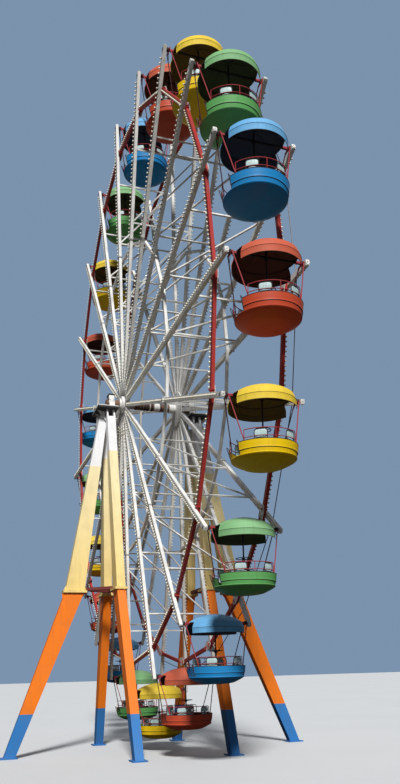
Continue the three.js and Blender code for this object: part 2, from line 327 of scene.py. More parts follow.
def effect(name, inputs, outputs):
    """An empty node group with named sockets, and its two end nodes."""
    tree = bpy.data.node_groups.new(name, "ShaderNodeTree")
    for direction, sockets in (("INPUT", inputs), ("OUTPUT", outputs)):
        for label, start in sockets.items():
            kind = "Float" if isinstance(start, float) else "Color" if len(start) == 4 else "Vector"
            socket = tree.interface.new_socket(label, in_out=direction, socket_type=f"NodeSocket{kind}")
            if direction == "INPUT":
                socket.default_value = start
    return tree, node(tree, "NodeGroupInput").outputs, node(tree, "NodeGroupOutput").inputs


NO_COLOUR = (0.0, 0.0, 0.0, 1.0)
NO_PLACE = (0.0, 0.0, 0.0)
TONE_AND_MASK = {"Color": NO_COLOUR, "Mask": 0.0}


def toned_by_mask(tree, mask, clean, changed, result):
    """Puts out an effect's two results: the colour that its mask brings, and the mask."""
    tree.links.new(mixed(tree, mask, clean, changed), result["Color"])
    tree.links.new(mask, result["Mask"])
    return tree


def weathering_effect():
    """Paint that the sun has faded in patches, more on faces that look up."""
    tree, given, result = effect("sun_fade", {
        "Paint": NO_COLOUR, "Faded": NO_COLOUR, "Place": NO_PLACE, "Facing": NO_PLACE,
        "Amount": 0.5, "Scale": 1.0,
    }, TONE_AND_MASK)
    patches = between(tree, noise(tree, given["Place"], given["Scale"]), 0.35, 0.7)
    upward = node(tree, "ShaderNodeSeparateXYZ", {0: given["Facing"]}).outputs[2]
    lit = between(tree, upward, -0.2, 0.9, 0.35, 1.0)
    mask = maths(tree, "MULTIPLY", maths(tree, "MULTIPLY", patches, lit), given["Amount"])
    return toned_by_mask(tree, mask, given["Paint"], given["Faded"], result)


def streaks_effect():
    """Rain streaks that run down, and dust in soft patches."""
    tree, given, result = effect("rain_streaks", {
        "Color": NO_COLOUR, "Grime": NO_COLOUR, "Place": NO_PLACE, "Amount": 0.3, "Scale": 1.0,
    }, TONE_AND_MASK)
    sizes = {0: given["Place"], "Scale": given["Scale"]}
    scaled = node(tree, "ShaderNodeVectorMath", sizes, operation="SCALE").outputs[0]
    narrow_and_long = (9.0, 9.0, 0.7)
    runs = between(tree, noise(tree, stretched(tree, scaled, narrow_and_long), 1.0, 4.0), 0.5, 0.75)
    patches = between(tree, noise(tree, scaled, 1.7, 4.0), 0.45, 0.8)
    mask = maths(tree, "MULTIPLY", maths(tree, "MAXIMUM", runs, patches), given["Amount"])
    return toned_by_mask(tree, mask, given["Color"], given["Grime"], result)


def wear_effect():
    """Paint worn off along the edges, and chipped to rust in small spots."""
    tree, given, result = effect("edge_wear", {
        "Color": NO_COLOUR, "Worn": NO_COLOUR, "Place": NO_PLACE, "Amount": 0.5, "Chips": 0.3,
        "Radius": 0.01,
    }, TONE_AND_MASK)
    softened = node(tree, "ShaderNodeBevel", {"Radius": given["Radius"]}, samples=2).outputs[0]
    true_normal = node(tree, "ShaderNodeNewGeometry").outputs["Normal"]
    normals = {0: softened, 1: true_normal}
    likeness = node(tree, "ShaderNodeVectorMath", normals, operation="DOT_PRODUCT").outputs["Value"]
    edge = between(tree, likeness, 0.98, 0.8)
    broken = between(tree, noise(tree, given["Place"], 14.0, 5.0, 0.7), 0.42, 0.6)
    rubbed = maths(tree, "MULTIPLY", maths(tree, "MULTIPLY", edge, broken), given["Amount"])
    chips = between(tree, noise(tree, given["Place"], 9.0, 6.0, 0.75), 0.68, 0.73)
    spots = maths(tree, "MULTIPLY", chips, given["Chips"])
    mask = maths(tree, "MAXIMUM", rubbed, spots)
    return toned_by_mask(tree, mask, given["Color"], given["Worn"], result)


def tarnish_effect():
    """Bare metal's tone, which wanders between two colours in patches and fine scratches."""
    tree, given, result = effect("tarnish", {
        "Dark": NO_COLOUR, "Light": NO_COLOUR, "Place": NO_PLACE, "Scale": 5.0,
    }, TONE_AND_MASK)
    patches = between(tree, noise(tree, given["Place"], given["Scale"], 6.0, 0.7), 0.35, 0.7)
    drawn_out = stretched(tree, given["Place"], (1.0, 12.0, 1.0))
    finer = maths(tree, "MULTIPLY", given["Scale"], 6.0)
    scratches = between(tree, noise(tree, drawn_out, finer), 0.4, 0.7)
    share = maths(tree, "ADD", patches, maths(tree, "MULTIPLY", scratches, 0.4))
    tree.links.new(mixed(tree, share, given["Dark"], given["Light"]), result["Color"])
    tree.links.new(patches, result["Mask"])
    return tree


def grain_effect():
    """Fine relief all over a surface, as the brush, the mould or the rolls leave it."""
    tree, given, result = effect("fine_grain", {"Place": NO_PLACE, "Scale": 40.0}, {"Height": 0.0})
    tree.links.new(noise(tree, given["Place"], given["Scale"], 2.0), result["Height"])
    return tree


SUN_FADE = weathering_effect()
RAIN_STREAKS = streaks_effect()
EDGE_WEAR = wear_effect()
TARNISH = tarnish_effect()
FINE_GRAIN = grain_effect()

GRIME = (0.11, 0.09, 0.07, 1.0)
RUST = (0.21, 0.08, 0.035, 1.0)
PIECE_SPREAD = 37.0


def shader(name, **constants):
    """A new material, with constants set on its shader's own sockets."""
    made = bpy.data.materials.new(name)
    made.use_nodes = True
    surface = made.node_tree.nodes["Principled BSDF"]
    for socket, value in constants.items():
        surface.inputs[socket.replace("_", " ")].default_value = value
    return made, made.node_tree, surface


def own_place(tree):
    """Where a point is on its own piece, set off by a different distance on each piece."""
    coordinates = node(tree, "ShaderNodeTexCoord")
    offset = node(tree, "ShaderNodeObjectInfo").outputs["Random"]
    spread = maths(tree, "MULTIPLY", offset, PIECE_SPREAD)
    sum_of = {0: coordinates.outputs["Object"], 1: spread}
    place = node(tree, "ShaderNodeVectorMath", sum_of, operation="ADD").outputs[0]
    return place, coordinates.outputs["Normal"], coordinates.outputs["Object"]


def applied(tree, group, feeds):
    """An effect placed in a material, as its colour and its mask."""
    made = node(tree, "ShaderNodeGroup", feeds, node_tree=group)
    return made.outputs["Color"], made.outputs["Mask"]


def finished(tree, surface, colour, mask, dull, glossy, place, grain=40.0, height=0.02):
    """Feeds the shader: dull where the mask is 1, glossy where it is 0, with a fine grain."""
    tree.links.new(colour, surface.inputs["Base Color"])
    tree.links.new(between(tree, mask, 0.0, 1.0, glossy, dull), surface.inputs["Roughness"])
    grained = node(tree, "ShaderNodeGroup", {"Place": place, "Scale": grain}, node_tree=FINE_GRAIN)
    relief = {"Height": grained.outputs["Height"], "Strength": height, "Distance": 0.02}
    tree.links.new(node(tree, "ShaderNodeBump", relief).outputs[0], surface.inputs["Normal"])


def paint(name, colour, faded, fade, grime, wear, chips, glossy=0.45, scale=1.0, base=None):
    """Brushed gloss paint on steel. base, where given, makes the colour from the tree and the point."""
    made, tree, surface = shader(name, Specular_IOR_Level=0.22)
    place, look, true_place = own_place(tree)
    start = base(tree, true_place) if base else (*colour, 1.0)
    tone, _ = applied(tree, SUN_FADE, {
        "Paint": start, "Faded": (*faded, 1.0), "Place": place, "Facing": look,
        "Amount": fade, "Scale": 0.8 * scale,
    })
    tone, dirt = applied(tree, RAIN_STREAKS, {
        "Color": tone, "Grime": GRIME, "Place": place, "Amount": grime, "Scale": scale,
    })
    tone, bare = applied(tree, EDGE_WEAR, {
        "Color": tone, "Worn": RUST, "Place": place, "Amount": wear, "Chips": chips,
    })
    finished(tree, surface, tone, maths(tree, "MAXIMUM", dirt, bare), 0.8, glossy, place)
    return made


# The legs' bands of colour from the foot up, and the heights where they change
LEG_BLUE = (0.03, 0.19, 0.5, 1.0)
LEG_ORANGE = (0.9, 0.2, 0.009, 1.0)
LEG_CREAM_BELOW = (0.88, 0.66, 0.24, 1.0)
LEG_CREAM_ABOVE = (0.88, 0.76, 0.44, 1.0)
LEG_WHITE = (0.84, 0.84, 0.84, 1.0)
BLUE_TOP = 1.65
ORANGE_TOP = 6.285
CREAM_FROM, CREAM_TO = 6.5, 11.0
SIDE_CREAM_TOP, OUTWARD_CREAM_TOP = 11.85, 11.35
OUTWARD_LEG_FROM = 2.0


def leg_bands(tree, place):
    """White at the top, cream down to the kink, orange below it and blue at the foot."""
    _, across, height = node(tree, "ShaderNodeSeparateXYZ", {0: place}).outputs
    wobble = between(tree, noise(tree, place, 3.0), 0.0, 1.0, -0.012, 0.012)
    level = maths(tree, "ADD", height, wobble)
    outward = above(tree, maths(tree, "ABSOLUTE", across), OUTWARD_LEG_FROM, 0.01)
    cream_top = between(tree, outward, 0.0, 1.0, SIDE_CREAM_TOP, OUTWARD_CREAM_TOP)
    in_white = maths(tree, "GREATER_THAN", level, cream_top)
    cream = mixed(tree, between(tree, level, CREAM_FROM, CREAM_TO), LEG_CREAM_BELOW, LEG_CREAM_ABOVE)
    colour = mixed(tree, above(tree, level, BLUE_TOP), LEG_BLUE, LEG_ORANGE)
    colour = mixed(tree, above(tree, level, ORANGE_TOP), colour, cream)
    return mixed(tree, in_white, colour, LEG_WHITE)


def bulb_glass():
    """Milky glass, yellowed in patches."""
    milky, yellowed = (0.94, 0.9, 0.76, 1.0), (0.82, 0.74, 0.54, 1.0)
    made, tree, surface = shader("bulb_glass", Coat_Weight=0.6, Coat_Roughness=0.08)
    place, _, _ = own_place(tree)
    patches = between(tree, noise(tree, place, 5.0), 0.4, 0.65)
    tone = mixed(tree, patches, milky, yellowed)
    finished(tree, surface, tone, noise(tree, place, 3.0), 0.4, 0.15, place, 60.0, 0.01)
    return made


def bare_metal(name, dark, light, metallic, dull, glossy, scale):
    """Metal whose tone wanders between two colours, duller where it is light."""
    made, tree, surface = shader(name, Metallic=metallic)
    place, _, _ = own_place(tree)
    tone, patches = applied(tree, TARNISH, {
        "Dark": (*dark, 1.0), "Light": (*light, 1.0), "Place": place, "Scale": scale,
    })
    finished(tree, surface, tone, patches, dull, glossy, place, 8.0 * scale, 0.15)
    return made


def seat_plastic():
    """Moulded grey-green plastic with a fine leather-like grain, scuffed on the pan."""
    grey_green, scuffed = (0.47, 0.62, 0.6, 1.0), (0.25, 0.32, 0.31, 1.0)
    made, tree, surface = shader("seat_plastic", Specular_IOR_Level=0.4)
    place, _, _ = own_place(tree)
    tone, scuffs = applied(tree, RAIN_STREAKS, {
        "Color": grey_green, "Grime": scuffed, "Place": place, "Amount": 0.5, "Scale": 2.5,
    })
    finished(tree, surface, tone, scuffs, 0.75, 0.42, place, 160.0, 0.12)
    return made


def rubber():
    """Black mat rubber, worn grey where people tread."""
    black, trodden = (0.03, 0.032, 0.035, 1.0), (0.1, 0.095, 0.09, 1.0)
    made, tree, surface = shader("floor_rubber")
    place, _, _ = own_place(tree)
    worn = between(tree, noise(tree, place, 4.0, 5.0), 0.4, 0.7)
    finished(tree, surface, mixed(tree, worn, black, trodden), worn, 0.9, 0.6, place, 90.0, 0.3)
    return made


def pale_floor():
    """Pale where it is looked at, and darker in the light that it throws back on the wheel."""
    paler, greyer, thrown_back = (0.72, 0.73, 0.73, 1.0), (0.66, 0.67, 0.67, 1.0), (0.035, 0.028, 0.02, 1.0)
    made, tree, surface = shader("pale_floor")
    place, _, _ = own_place(tree)
    tone = mixed(tree, noise(tree, place, 0.15, 4.0), greyer, paler)
    seen = node(tree, "ShaderNodeLightPath").outputs["Is Camera Ray"]
    tone = mixed(tree, seen, thrown_back, tone)
    finished(tree, surface, tone, noise(tree, place, 1.0), 0.8, 0.65, place, 3.0, 0.02)
    return made


def toned(colour, share, towards=(0.012, 0.01, 0.008)):
    """A share of a colour, with the rest of it made up from another."""
    return tuple(share * c + (1 - share) * t for c, t in zip(colour, towards))


wheel_white = paint("wheel_white", (0.84, 0.83, 0.79), (0.74, 0.72, 0.66), 0.5, 0.4, 0.5, 0.3)
rim_red = paint("rim_red", (0.4, 0.028, 0.026), (0.46, 0.07, 0.055), 0.5, 0.3, 0.5, 0.2)
frame_red = paint("frame_red", (0.34, 0.028, 0.04), (0.42, 0.09, 0.095), 0.5, 0.3, 0.5, 0.2, scale=3.0)
# A dark copy of the frame's red: painted shade for the hanger legs on the -X side
painted_shade_red = paint("painted_shade_red", (0.06, 0.02, 0.026), (0.1, 0.035, 0.035), 0.5, 0.4, 0.5, 0.3, scale=3.0)
# Dark paint for parts that are dark; also used as painted shade on the beam's middle, the tub's bead and the
# bearing plates
dark_paint_and_shade = paint("dark_paint_and_shade", (0.022, 0.022, 0.026), (0.06, 0.058, 0.056), 0.5, 0.3, 0.6, 0.2, scale=3.0)
tie_paint = paint("tie_paint", (0.16, 0.03, 0.03), (0.22, 0.06, 0.05), 0.5, 0.4, 0.5, 0.3)
leg_paint = paint("leg_paint", None, (0.92, 0.7, 0.4), 0.05, 0.22, 0.5, 0.25, base=leg_bands)
glass = bulb_glass()
socket_dark = bare_metal("socket_dark", (0.012, 0.012, 0.012), (0.035, 0.033, 0.03), 0.3, 0.7, 0.45, 8.0)
bolt_steel = bare_metal("bolt_steel", (0.14, 0.1, 0.08), (0.42, 0.41, 0.4), 0.8, 0.7, 0.4, 12.0)
shaft_rust = bare_metal("shaft_rust", (0.08, 0.04, 0.028), (0.26, 0.14, 0.09), 0.4, 0.85, 0.5, 2.5)
worn_steel = bare_metal("worn_steel", (0.3, 0.28, 0.27), (0.62, 0.61, 0.6), 0.3, 0.7, 0.4, 5.0)
rope_steel = bare_metal("rope_steel", (0.03, 0.03, 0.032), (0.16, 0.15, 0.14), 0.8, 0.6, 0.35, 20.0)
seat_grey = seat_plastic()
floor_rubber = rubber()


# Canopy: a pressed dome over two skirt halves, with rolled edges and thin ribs under it
CANOPY_PAINT, CANOPY_UNDERSIDE, CANOPY_TRIM = range(3)
DOME = [(0.0, 0.292), (0.1, 0.287), (0.22, 0.273), (0.36, 0.246), (0.5, 0.206), (0.61, 0.166), (0.7, 0.124),
        (0.76, 0.091), (0.815, 0.055), BROW]
SKIRT = [BROW, (0.893, -0.05), (0.912, -0.098), (0.9195, -0.116), (0.929, -0.15), (0.9355, -0.158),
         (0.9335, -0.168), (SKIRT_RADIUS, -0.25), (SKIRT_RADIUS, SKIRT_BOTTOM)]
SEAM_RADIUS, SEAM_HEIGHT, SEAM_TUBE = 0.9345, -0.16, 0.0055
DOME_BOSS = [(0, 0.2), (0.035, 0.2), (0.06, 0.235), (0.11, 0.262), (0.11, 0.276), (0, 0.28)]
DOME_STEPS, SKIRT_STEPS = 60, 30
EDGE_ROLL, EDGE_INSET = 0.008, 0.004
CANOPY_RIBS = 8
RIB_TUBE, RIB_DROP = 0.007, 0.012
RING_RADIUS, RING_HEIGHT, RING_TUBE = 0.85, 0.004, 0.011


def lined(profile, thickness=SHEET):
    """The sheet's profile with its inner face, as a closed loop."""
    inner = []
    for i, (radius, z) in enumerate(profile):
        r0, z0 = profile[max(i - 1, 0)]
        r1, z1 = profile[min(i + 1, len(profile) - 1)]
        length = math.hypot(r1 - r0, z1 - z0)
        inner.append((max(radius + (z1 - z0) / length * thickness, 0.0), z - (r1 - r0) / length * thickness))
    return profile + inner[::-1]


def canopy_making():
    """The dome, the skirt halves with their rolled edges and seams, the ribs, the ring and the boss."""
    making = Making()
    making.add(turned(lined(DOME), DOME_STEPS), CANOPY_PAINT)
    notch_angle = math.asin(NOTCH_HALF / SKIRT_RADIUS)
    sweep = math.pi - 2 * notch_angle
    brow_radius, brow_height = (v + 0.002 for v in BROW)
    for start in (-sweep / 2, math.pi - sweep / 2):
        end = start + sweep
        making.add(turned(lined(SKIRT), SKIRT_STEPS, start, sweep, loop=True), CANOPY_PAINT)
        for angle in (start, end):
            edge = [radial(angle, r - EDGE_INSET, z) for r, z in SKIRT]
            making.add(tube(edge, EDGE_ROLL, 6), CANOPY_PAINT)
        hem = arc(SKIRT_RADIUS - EDGE_INSET, SKIRT_BOTTOM, start, end, SKIRT_STEPS)
        making.add(tube(hem, EDGE_ROLL, 6), CANOPY_UNDERSIDE)
        over_notch = arc(brow_radius, brow_height, end, end + 2 * notch_angle, 12)
        making.add(tube(over_notch, EDGE_ROLL, 6), CANOPY_PAINT)
        seam = arc(SEAM_RADIUS, SEAM_HEIGHT, start, end, SKIRT_STEPS)
        making.add(tube(seam, SEAM_TUBE, 5), CANOPY_TRIM)
    for i in range(CANOPY_RIBS):
        angle = TURN * (i + 0.5) / CANOPY_RIBS
        rib = [radial(angle, r, z - RIB_DROP) for r, z in DOME[1::2]]
        making.add(tube(rib, RIB_TUBE, 4), CANOPY_UNDERSIDE)
    ring = arc(RING_RADIUS, RING_HEIGHT, 0, TURN, 48)[:-1]
    making.add(tube(ring, RING_TUBE, 6, closed=True), CANOPY_TRIM)
    making.add(turned(DOME_BOSS, 20), CANOPY_UNDERSIDE)
    return making


def recoloured_underside(mesh):
    """Gives the dome's and skirts' inner faces the underside's dark paint, which is painted shade."""
    brow_height = BROW[1]
    for face in mesh.polygons:
        if face.material_index != CANOPY_PAINT:
            continue
        if face.normal.z < -0.05 and face.center.z > brow_height - 0.001:
            face.material_index = CANOPY_UNDERSIDE
        elif face.center.z < brow_height:
            outward = Vector((face.center.x, face.center.y, 0)).normalized()
            if outward.dot(face.normal) < -0.5:
                face.material_index = CANOPY_UNDERSIDE


# Tub: a flared band with a trimmed rim and a bead, over a shallow bowl with a lip
TUB_PAINT, TUB_TRIM_AND_SHADE, TUB_MAT, TUB_INSIDE = range(4)
BAND = [(TUB_RADIUS, RIM_HEIGHT - 0.004), (0.9335, -1.41), (0.922, -1.53), (0.916, -1.572), (0.9185, -1.58),
        (0.916, -1.589), (0.904, BEAD_HEIGHT), (0.898, -1.625), (0.886, -1.68), (0.88, -1.706)]
BOWL = [(0.872, -1.7), (0.886, -1.704), (0.89, -1.712), (0.886, LIP_HEIGHT), (0.864, -1.741), (0.79, -1.783),
        (0.69, -1.834), (0.6, -1.876), (0.53, -1.9), (0.4, -1.922), (0.2, -1.935), (0.0, -1.938)]
BEAD = [(0.9175, -1.585), (0.9185, -1.5915), (0.908, -1.599), (0.905, -1.592)]
BOWL_BOSS = [(0, -1.944), (0.035, -1.944), (0.05, -1.938), (0.055, -1.928), (0, -1.925)]
BAND_STEPS, BOWL_STEPS = 60, 72
RIM_TUBE = 0.011
JAMB = [(0.884, -1.7), (1.0, -1.315), (TUB_RADIUS - 0.004, RIM_HEIGHT)]
JAMB_TUBE, JAMB_BEND = 0.01, 0.03
BOWL_RIBS, RIB_SINK = 12, 0.003
MAT_RADIUS, MAT_DEPTH = 0.49, 0.014
MAT_TREADS, TREAD_FROM, TREAD_TO = 16, 0.13, 0.46


def tub_making():
    """The band and its trims, open at the entry, with a jamb bar at each side of it, and the bowl."""
    making = Making()
    entry_angle = math.asin(ENTRY_HALF / TUB_RADIUS)
    start, sweep = -QUARTER + entry_angle, TURN - 2 * entry_angle
    end = start + sweep
    making.add(turned(lined(BAND), BAND_STEPS, start, sweep, loop=True), TUB_PAINT)
    making.add(turned(lined(BOWL, -SHEET)[::-1], BOWL_STEPS), TUB_PAINT)
    rim = arc(TUB_RADIUS - 0.005, RIM_HEIGHT, start, end, BAND_STEPS)
    making.add(tube(rim, RIM_TUBE, 6), TUB_TRIM_AND_SHADE)
    # The bead is in the dark trim paint: painted shade for the shadow line under the upper band
    making.add(turned(BEAD, BAND_STEPS, start, sweep, loop=True), TUB_TRIM_AND_SHADE)
    for angle in (start, end):
        making.add(tube([radial(angle, r, z) for r, z in BAND], RIM_TUBE, 6), TUB_TRIM_AND_SHADE)
        jamb = rounded([radial(angle, r, z) for r, z in JAMB], JAMB_BEND)
        making.add(tube(jamb, JAMB_TUBE, 6), TUB_TRIM_AND_SHADE)
    for i in range(BOWL_RIBS):
        angle = TURN * (i + 0.5) / BOWL_RIBS
        rib = [radial(angle, r, z + RIB_SINK) for r, z in BOWL[4:-1:2]]
        making.add(tube(rib, RIB_TUBE, 4), TUB_PAINT)
    making.add(turned(BOWL_BOSS, 20), TUB_PAINT)
    floor_mat(making)
    return making


def floor_mat(making):
    """A round rubber mat with raised treads, and the post's foot on it."""
    top = FLOOR_HEIGHT
    under = top - MAT_DEPTH
    making.add(turned([(0, top), (MAT_RADIUS, top), (MAT_RADIUS, under), (0, under)], 48), TUB_MAT)
    for i in range(MAT_TREADS):
        angle = TURN * i / MAT_TREADS
        tread = [radial(angle, reach, top) for reach in (TREAD_FROM, TREAD_TO)]
        making.add(tube(tread, RIB_TUBE, 4), TUB_MAT)
    foot = [(0.026, top), (0.09, top), (0.09, top + 0.012), (0.026, top + 0.026)]
    making.add(turned(foot, 24, loop=True), TUB_TRIM_AND_SHADE)


def recoloured_inside(mesh):
    """Gives the tub's inner faces their dulled paint."""
    for face in mesh.polygons:
        if face.material_index != TUB_PAINT:
            continue
        outward = Vector((face.center.x, face.center.y, 0)).normalized()
        low = face.center.z < LIP_HEIGHT
        if (face.normal.z > 0.3 if low else outward.dot(face.normal) < -0.5):
            face.material_index = TUB_INSIDE


# Hanging frame: beam with its pins, cross bars, splayed legs, two railed sides, and the centre post
FRAME_RED, FRAME_DARK_AND_SHADE, FRAME_STEEL, FRAME_PAINTED_SHADE = range(4)
RAIL_START, RAIL_POST, RAIL_END = (math.radians(a) for a in (-57, -3, 42))
SHOULDER_Y = SPOKE_INNER_FACE - 0.0008
SHOULDER = [(0, -0.1), (0.062, -0.1), (0.066, -0.09), (0.066, -0.02), (0.05, -0.004), (0.03, 0)]
PIN = [(0, -0.02), (PIN_RADIUS, -0.02), (PIN_RADIUS, 0.122), (0.028, 0.1295), (0, 0.1295)]
PIN_NUT = [(0.03, 0.1115), (0.055, 0.1115), (0.055, 0.115), (0.048, 0.117), (0.048, 0.126), (0.03, 0.126)]
POST_COLLAR = [(0.023, -0.09), (0.034, -0.09), (0.06, -BEAM_HALF), (0.023, -BEAM_HALF)]
HANGER_WASHER = [(0, 0), (0.045, 0), (0.045, 0.006), (0, 0.008)]
POST_TUBE, UPPER_POST_TUBE, UPPER_POST_TOP = 0.023, 0.028, 0.27
SLIM_BEAM_HALF, SLIM_BEAM_REACH = 0.024, 0.86
STOUT_BEAM_FROM, STOUT_BEAM_SHORT = 0.85, 0.07
CROSS_BAR_HALF = 0.02
HANGER_TUBE, HANGER_BEND = 0.016, 0.04
HANGER_SEAT_RADIUS, HANGER_SEAT_DROP = 0.924, 0.045
BRACE_TUBE, BRACE_SHARE = 0.009, 0.12
RAIL_BEND = 0.12
UPPER_RAIL_TUBE, LOWER_RAIL_TUBE, RAIL_POST_TUBE = 0.0125, 0.0105, 0.0115


def railed_side(making, way):
    """An upper and a lower rail, from beside the front hanger's foot to where the upper one bends down."""
    def mirrored(points):
        return [Vector((way * p.x, p.y, p.z)) for p in points]

    upper, lower = RAIL_HEIGHTS
    top = arc(RAIL_RADIUS, upper, RAIL_START, RAIL_END - RAIL_BEND, 30)
    corner, foot = (radial(RAIL_END, RAIL_RADIUS, z) for z in (upper, RIM_HEIGHT))
    bend = rounded([top[-1], corner, foot], RAIL_BEND, 6)
    making.add(tube(mirrored(top + bend[1:]), UPPER_RAIL_TUBE), FRAME_RED)
    under = arc(RAIL_RADIUS, lower, RAIL_START, RAIL_END, 32)
    making.add(tube(mirrored(under), LOWER_RAIL_TUBE), FRAME_RED)
    for angle in (RAIL_START, RAIL_POST):
        post = [radial(angle, RAIL_RADIUS, z) for z in (RIM_HEIGHT - 0.002, upper)]
        making.add(tube(mirrored(post), RAIL_POST_TUBE, 6), FRAME_RED)


def beam_end(making, side):
    """The stout end of the beam, the shoulder and the pin in the spoke, and the hangers' cross bar."""
    half = BEAM_HALF
    low, high = sorted((side * STOUT_BEAM_FROM, side * (SHOULDER_Y - STOUT_BEAM_SHORT)))
    making.add(block((-half, low, -half), (half, high, half), 0.008), FRAME_RED)
    pin = facing((0, side * SHOULDER_Y, 0), (0, side, 0))
    making.add(turned(SHOULDER, 20), FRAME_DARK_AND_SHADE, pin)
    making.add(turned(PIN, 16), FRAME_STEEL, pin)
    making.add(turned(PIN_NUT, 6, loop=True), FRAME_STEEL, pin)
    middle = Vector((0, side * HANGER_HEAD.y, HANGER_HEAD.z))
    corner = Vector((HANGER_HEAD.x + CROSS_BAR_HALF, CROSS_BAR_HALF, CROSS_BAR_HALF))
    making.add(block(middle - corner, middle + corner), FRAME_RED)


def hanger(making, side, way):
    """One splayed leg from the cross bar down to the tub's rim, with its washer and its brace."""
    top, foot = (Vector((way * p.x, side * p.y, p.z)) for p in (HANGER_HEAD, HANGER_FOOT))
    on_rim = top.lerp(foot, (top.z - RIM_HEIGHT + 0.02) / (top.z - foot.z))
    outward = Vector((on_rim.x, on_rim.y, 0)).normalized()
    seat = outward * HANGER_SEAT_RADIUS + Vector((0, 0, RIM_HEIGHT - HANGER_SEAT_DROP))
    leg = rounded([top, on_rim, seat], HANGER_BEND)
    # The legs on the -X side take the dark red: painted shade over the frame's red
    making.add(tube(leg, HANGER_TUBE, 10), FRAME_RED if way > 0 else FRAME_PAINTED_SHADE)
    making.add(turned(HANGER_WASHER, 12), FRAME_RED, facing(seat, -outward))
    brace = [(0, side * (HANGER_HEAD.y - 0.01), -BEAM_HALF), top.lerp(foot, BRACE_SHARE)]
    making.add(tube(brace, BRACE_TUBE, 6), FRAME_RED)


def frame_making():
    """All that a cabin hangs by, from the pins down to the floor."""
    making = Making()
    slim_corner = Vector((SLIM_BEAM_HALF, SLIM_BEAM_REACH, SLIM_BEAM_HALF))
    # The slim middle of the beam, under the canopy, is in the dark paint: painted shade over the red of the
    # beam's ends
    making.add(block(-slim_corner, slim_corner), FRAME_DARK_AND_SHADE)
    making.add(tube([(0, 0, FLOOR_HEIGHT), (0, 0, -BEAM_HALF)], POST_TUBE, 12), FRAME_DARK_AND_SHADE)
    making.add(tube([(0, 0, BEAM_HALF), (0, 0, UPPER_POST_TOP)], UPPER_POST_TUBE, 12), FRAME_DARK_AND_SHADE)
    making.add(turned(POST_COLLAR, 16, loop=True), FRAME_DARK_AND_SHADE)
    for side in (-1, 1):
        beam_end(making, side)
        for way in (-1, 1):
            hanger(making, side, way)
    for way in (-1, 1):
        railed_side(making, way)
    return making


# Seats: a moulded pan and an upper back panel in bent hoops. A row is (distance out, height, half width)
SEAT_SHELL, SEAT_HOOP = range(2)
PAN_ROWS = [(0.562, -1.54, 0.15), (0.557, -1.515, 0.17), (0.576, -1.493, 0.178), (0.64, -1.488, 0.18),
            (0.72, -1.494, 0.18), (0.79, -1.5, 0.178), (0.832, -1.48, 0.172), (0.848, -1.43, 0.166),
            (0.858, -1.375, 0.162), (0.864, -1.34, 0.145), (0.866, -1.318, 0.11), (0.867, -1.305, 0.05)]
BACK_ROWS = [(0.868, -1.272, 0.15), (0.872, -1.25, 0.158), (0.874, -1.19, 0.158), (0.874, -1.155, 0.15),
             (0.873, -1.132, 0.125), (0.872, -1.12, 0.06)]
ACROSS = (-1, -0.9, -0.6, -0.3, 0, 0.3, 0.6, 0.9, 1)
SHELL_THICKNESS = 0.01
PAN_DISH, BACK_DISH = 0.006, 0.01
HOOP = [(0.62, -0.16, -1.515), (0.882, -0.16, -1.515), (0.892, -0.176, -1.105), (0.892, 0.176, -1.105),
        (0.882, 0.16, -1.515), (0.62, 0.16, -1.515)]
ARCH = [(0.886, -0.168, -1.36), (0.886, -0.15, -1.3), (0.888, 0, -1.278), (0.886, 0.15, -1.3),
        (0.886, 0.168, -1.36)]
SEAT_LEG_OUT = 0.66
HOOP_TUBE, HOOP_BEND = 0.0115, 0.11
ARCH_TUBE, ARCH_BEND = 0.0085, 0.07
SEAT_LEG_TUBE, SEAT_BAR_TUBE = 0.011, 0.01


def shell(rows, dish):
    """A moulded sheet along its rows, dished across its width."""
    corners, faces = [], []
    for thickness in (0.0, SHELL_THICKNESS):
        for i, (x, z, half_width) in enumerate(rows):
            x0, z0, _ = rows[max(i - 1, 0)]
            x1, z1, _ = rows[min(i + 1, len(rows) - 1)]
            length = math.hypot(x1 - x0, z1 - z0)
            out_x, out_z = (z1 - z0) / length, -(x1 - x0) / length
            for share in ACROSS:
                sunk = dish * (1 - share ** 2) + thickness
                corners.append((x + out_x * sunk, share * half_width, z + out_z * sunk))
    columns = len(ACROSS)
    back = len(rows) * columns
    for i in range(len(rows) - 1):
        for j in range(columns - 1):
            a = i * columns + j
            quad = [a, a + 1, a + columns + 1, a + columns]
            faces += [quad, [back + v for v in reversed(quad)]]
    rim = list(range(columns)) + [i * columns + columns - 1 for i in range(1, len(rows))]
    rim += [back - columns + j for j in reversed(range(columns - 1))]
    rim += [i * columns for i in reversed(range(1, len(rows) - 1))]
    faces += [[a, back + a, back + b, b] for a, b in zip(rim, rim[1:] + rim[:1])]
    return corners, faces


def seats_making():
    """Four seats around the post, each with its hoop, arch, two legs and a cross bar."""
    making = Making()
    for degrees in SEAT_TURNS:
        turn = Matrix.Rotation(math.radians(degrees), 4, "Z")
        making.add(shell(PAN_ROWS, PAN_DISH), SEAT_SHELL, turn)
        making.add(shell(BACK_ROWS, BACK_DISH), SEAT_SHELL, turn)
        making.add(tube(rounded(HOOP, HOOP_BEND, 6), HOOP_TUBE), SEAT_HOOP, turn)
        making.add(tube(rounded(ARCH, ARCH_BEND), ARCH_TUBE, 6), SEAT_HOOP, turn)
        for side in (-1, 1):
            leg = [(SEAT_LEG_OUT, side * 0.155, -1.515), (SEAT_LEG_OUT, side * 0.14, -1.85)]
            making.add(tube(leg, SEAT_LEG_TUBE), SEAT_HOOP, turn)
        cross_bar = [(SEAT_LEG_OUT, -0.16, -1.512), (SEAT_LEG_OUT, 0.16, -1.512)]
        making.add(tube(cross_bar, SEAT_BAR_TUBE, 6), SEAT_HOOP, turn)
    return making


# Handwheel, on the centre post
HANDWHEEL_RADIUS, HANDWHEEL_DISH = 0.22, 0.03
HANDWHEEL_TUBE, HANDWHEEL_SPOKE_TUBE = 0.0125, 0.008


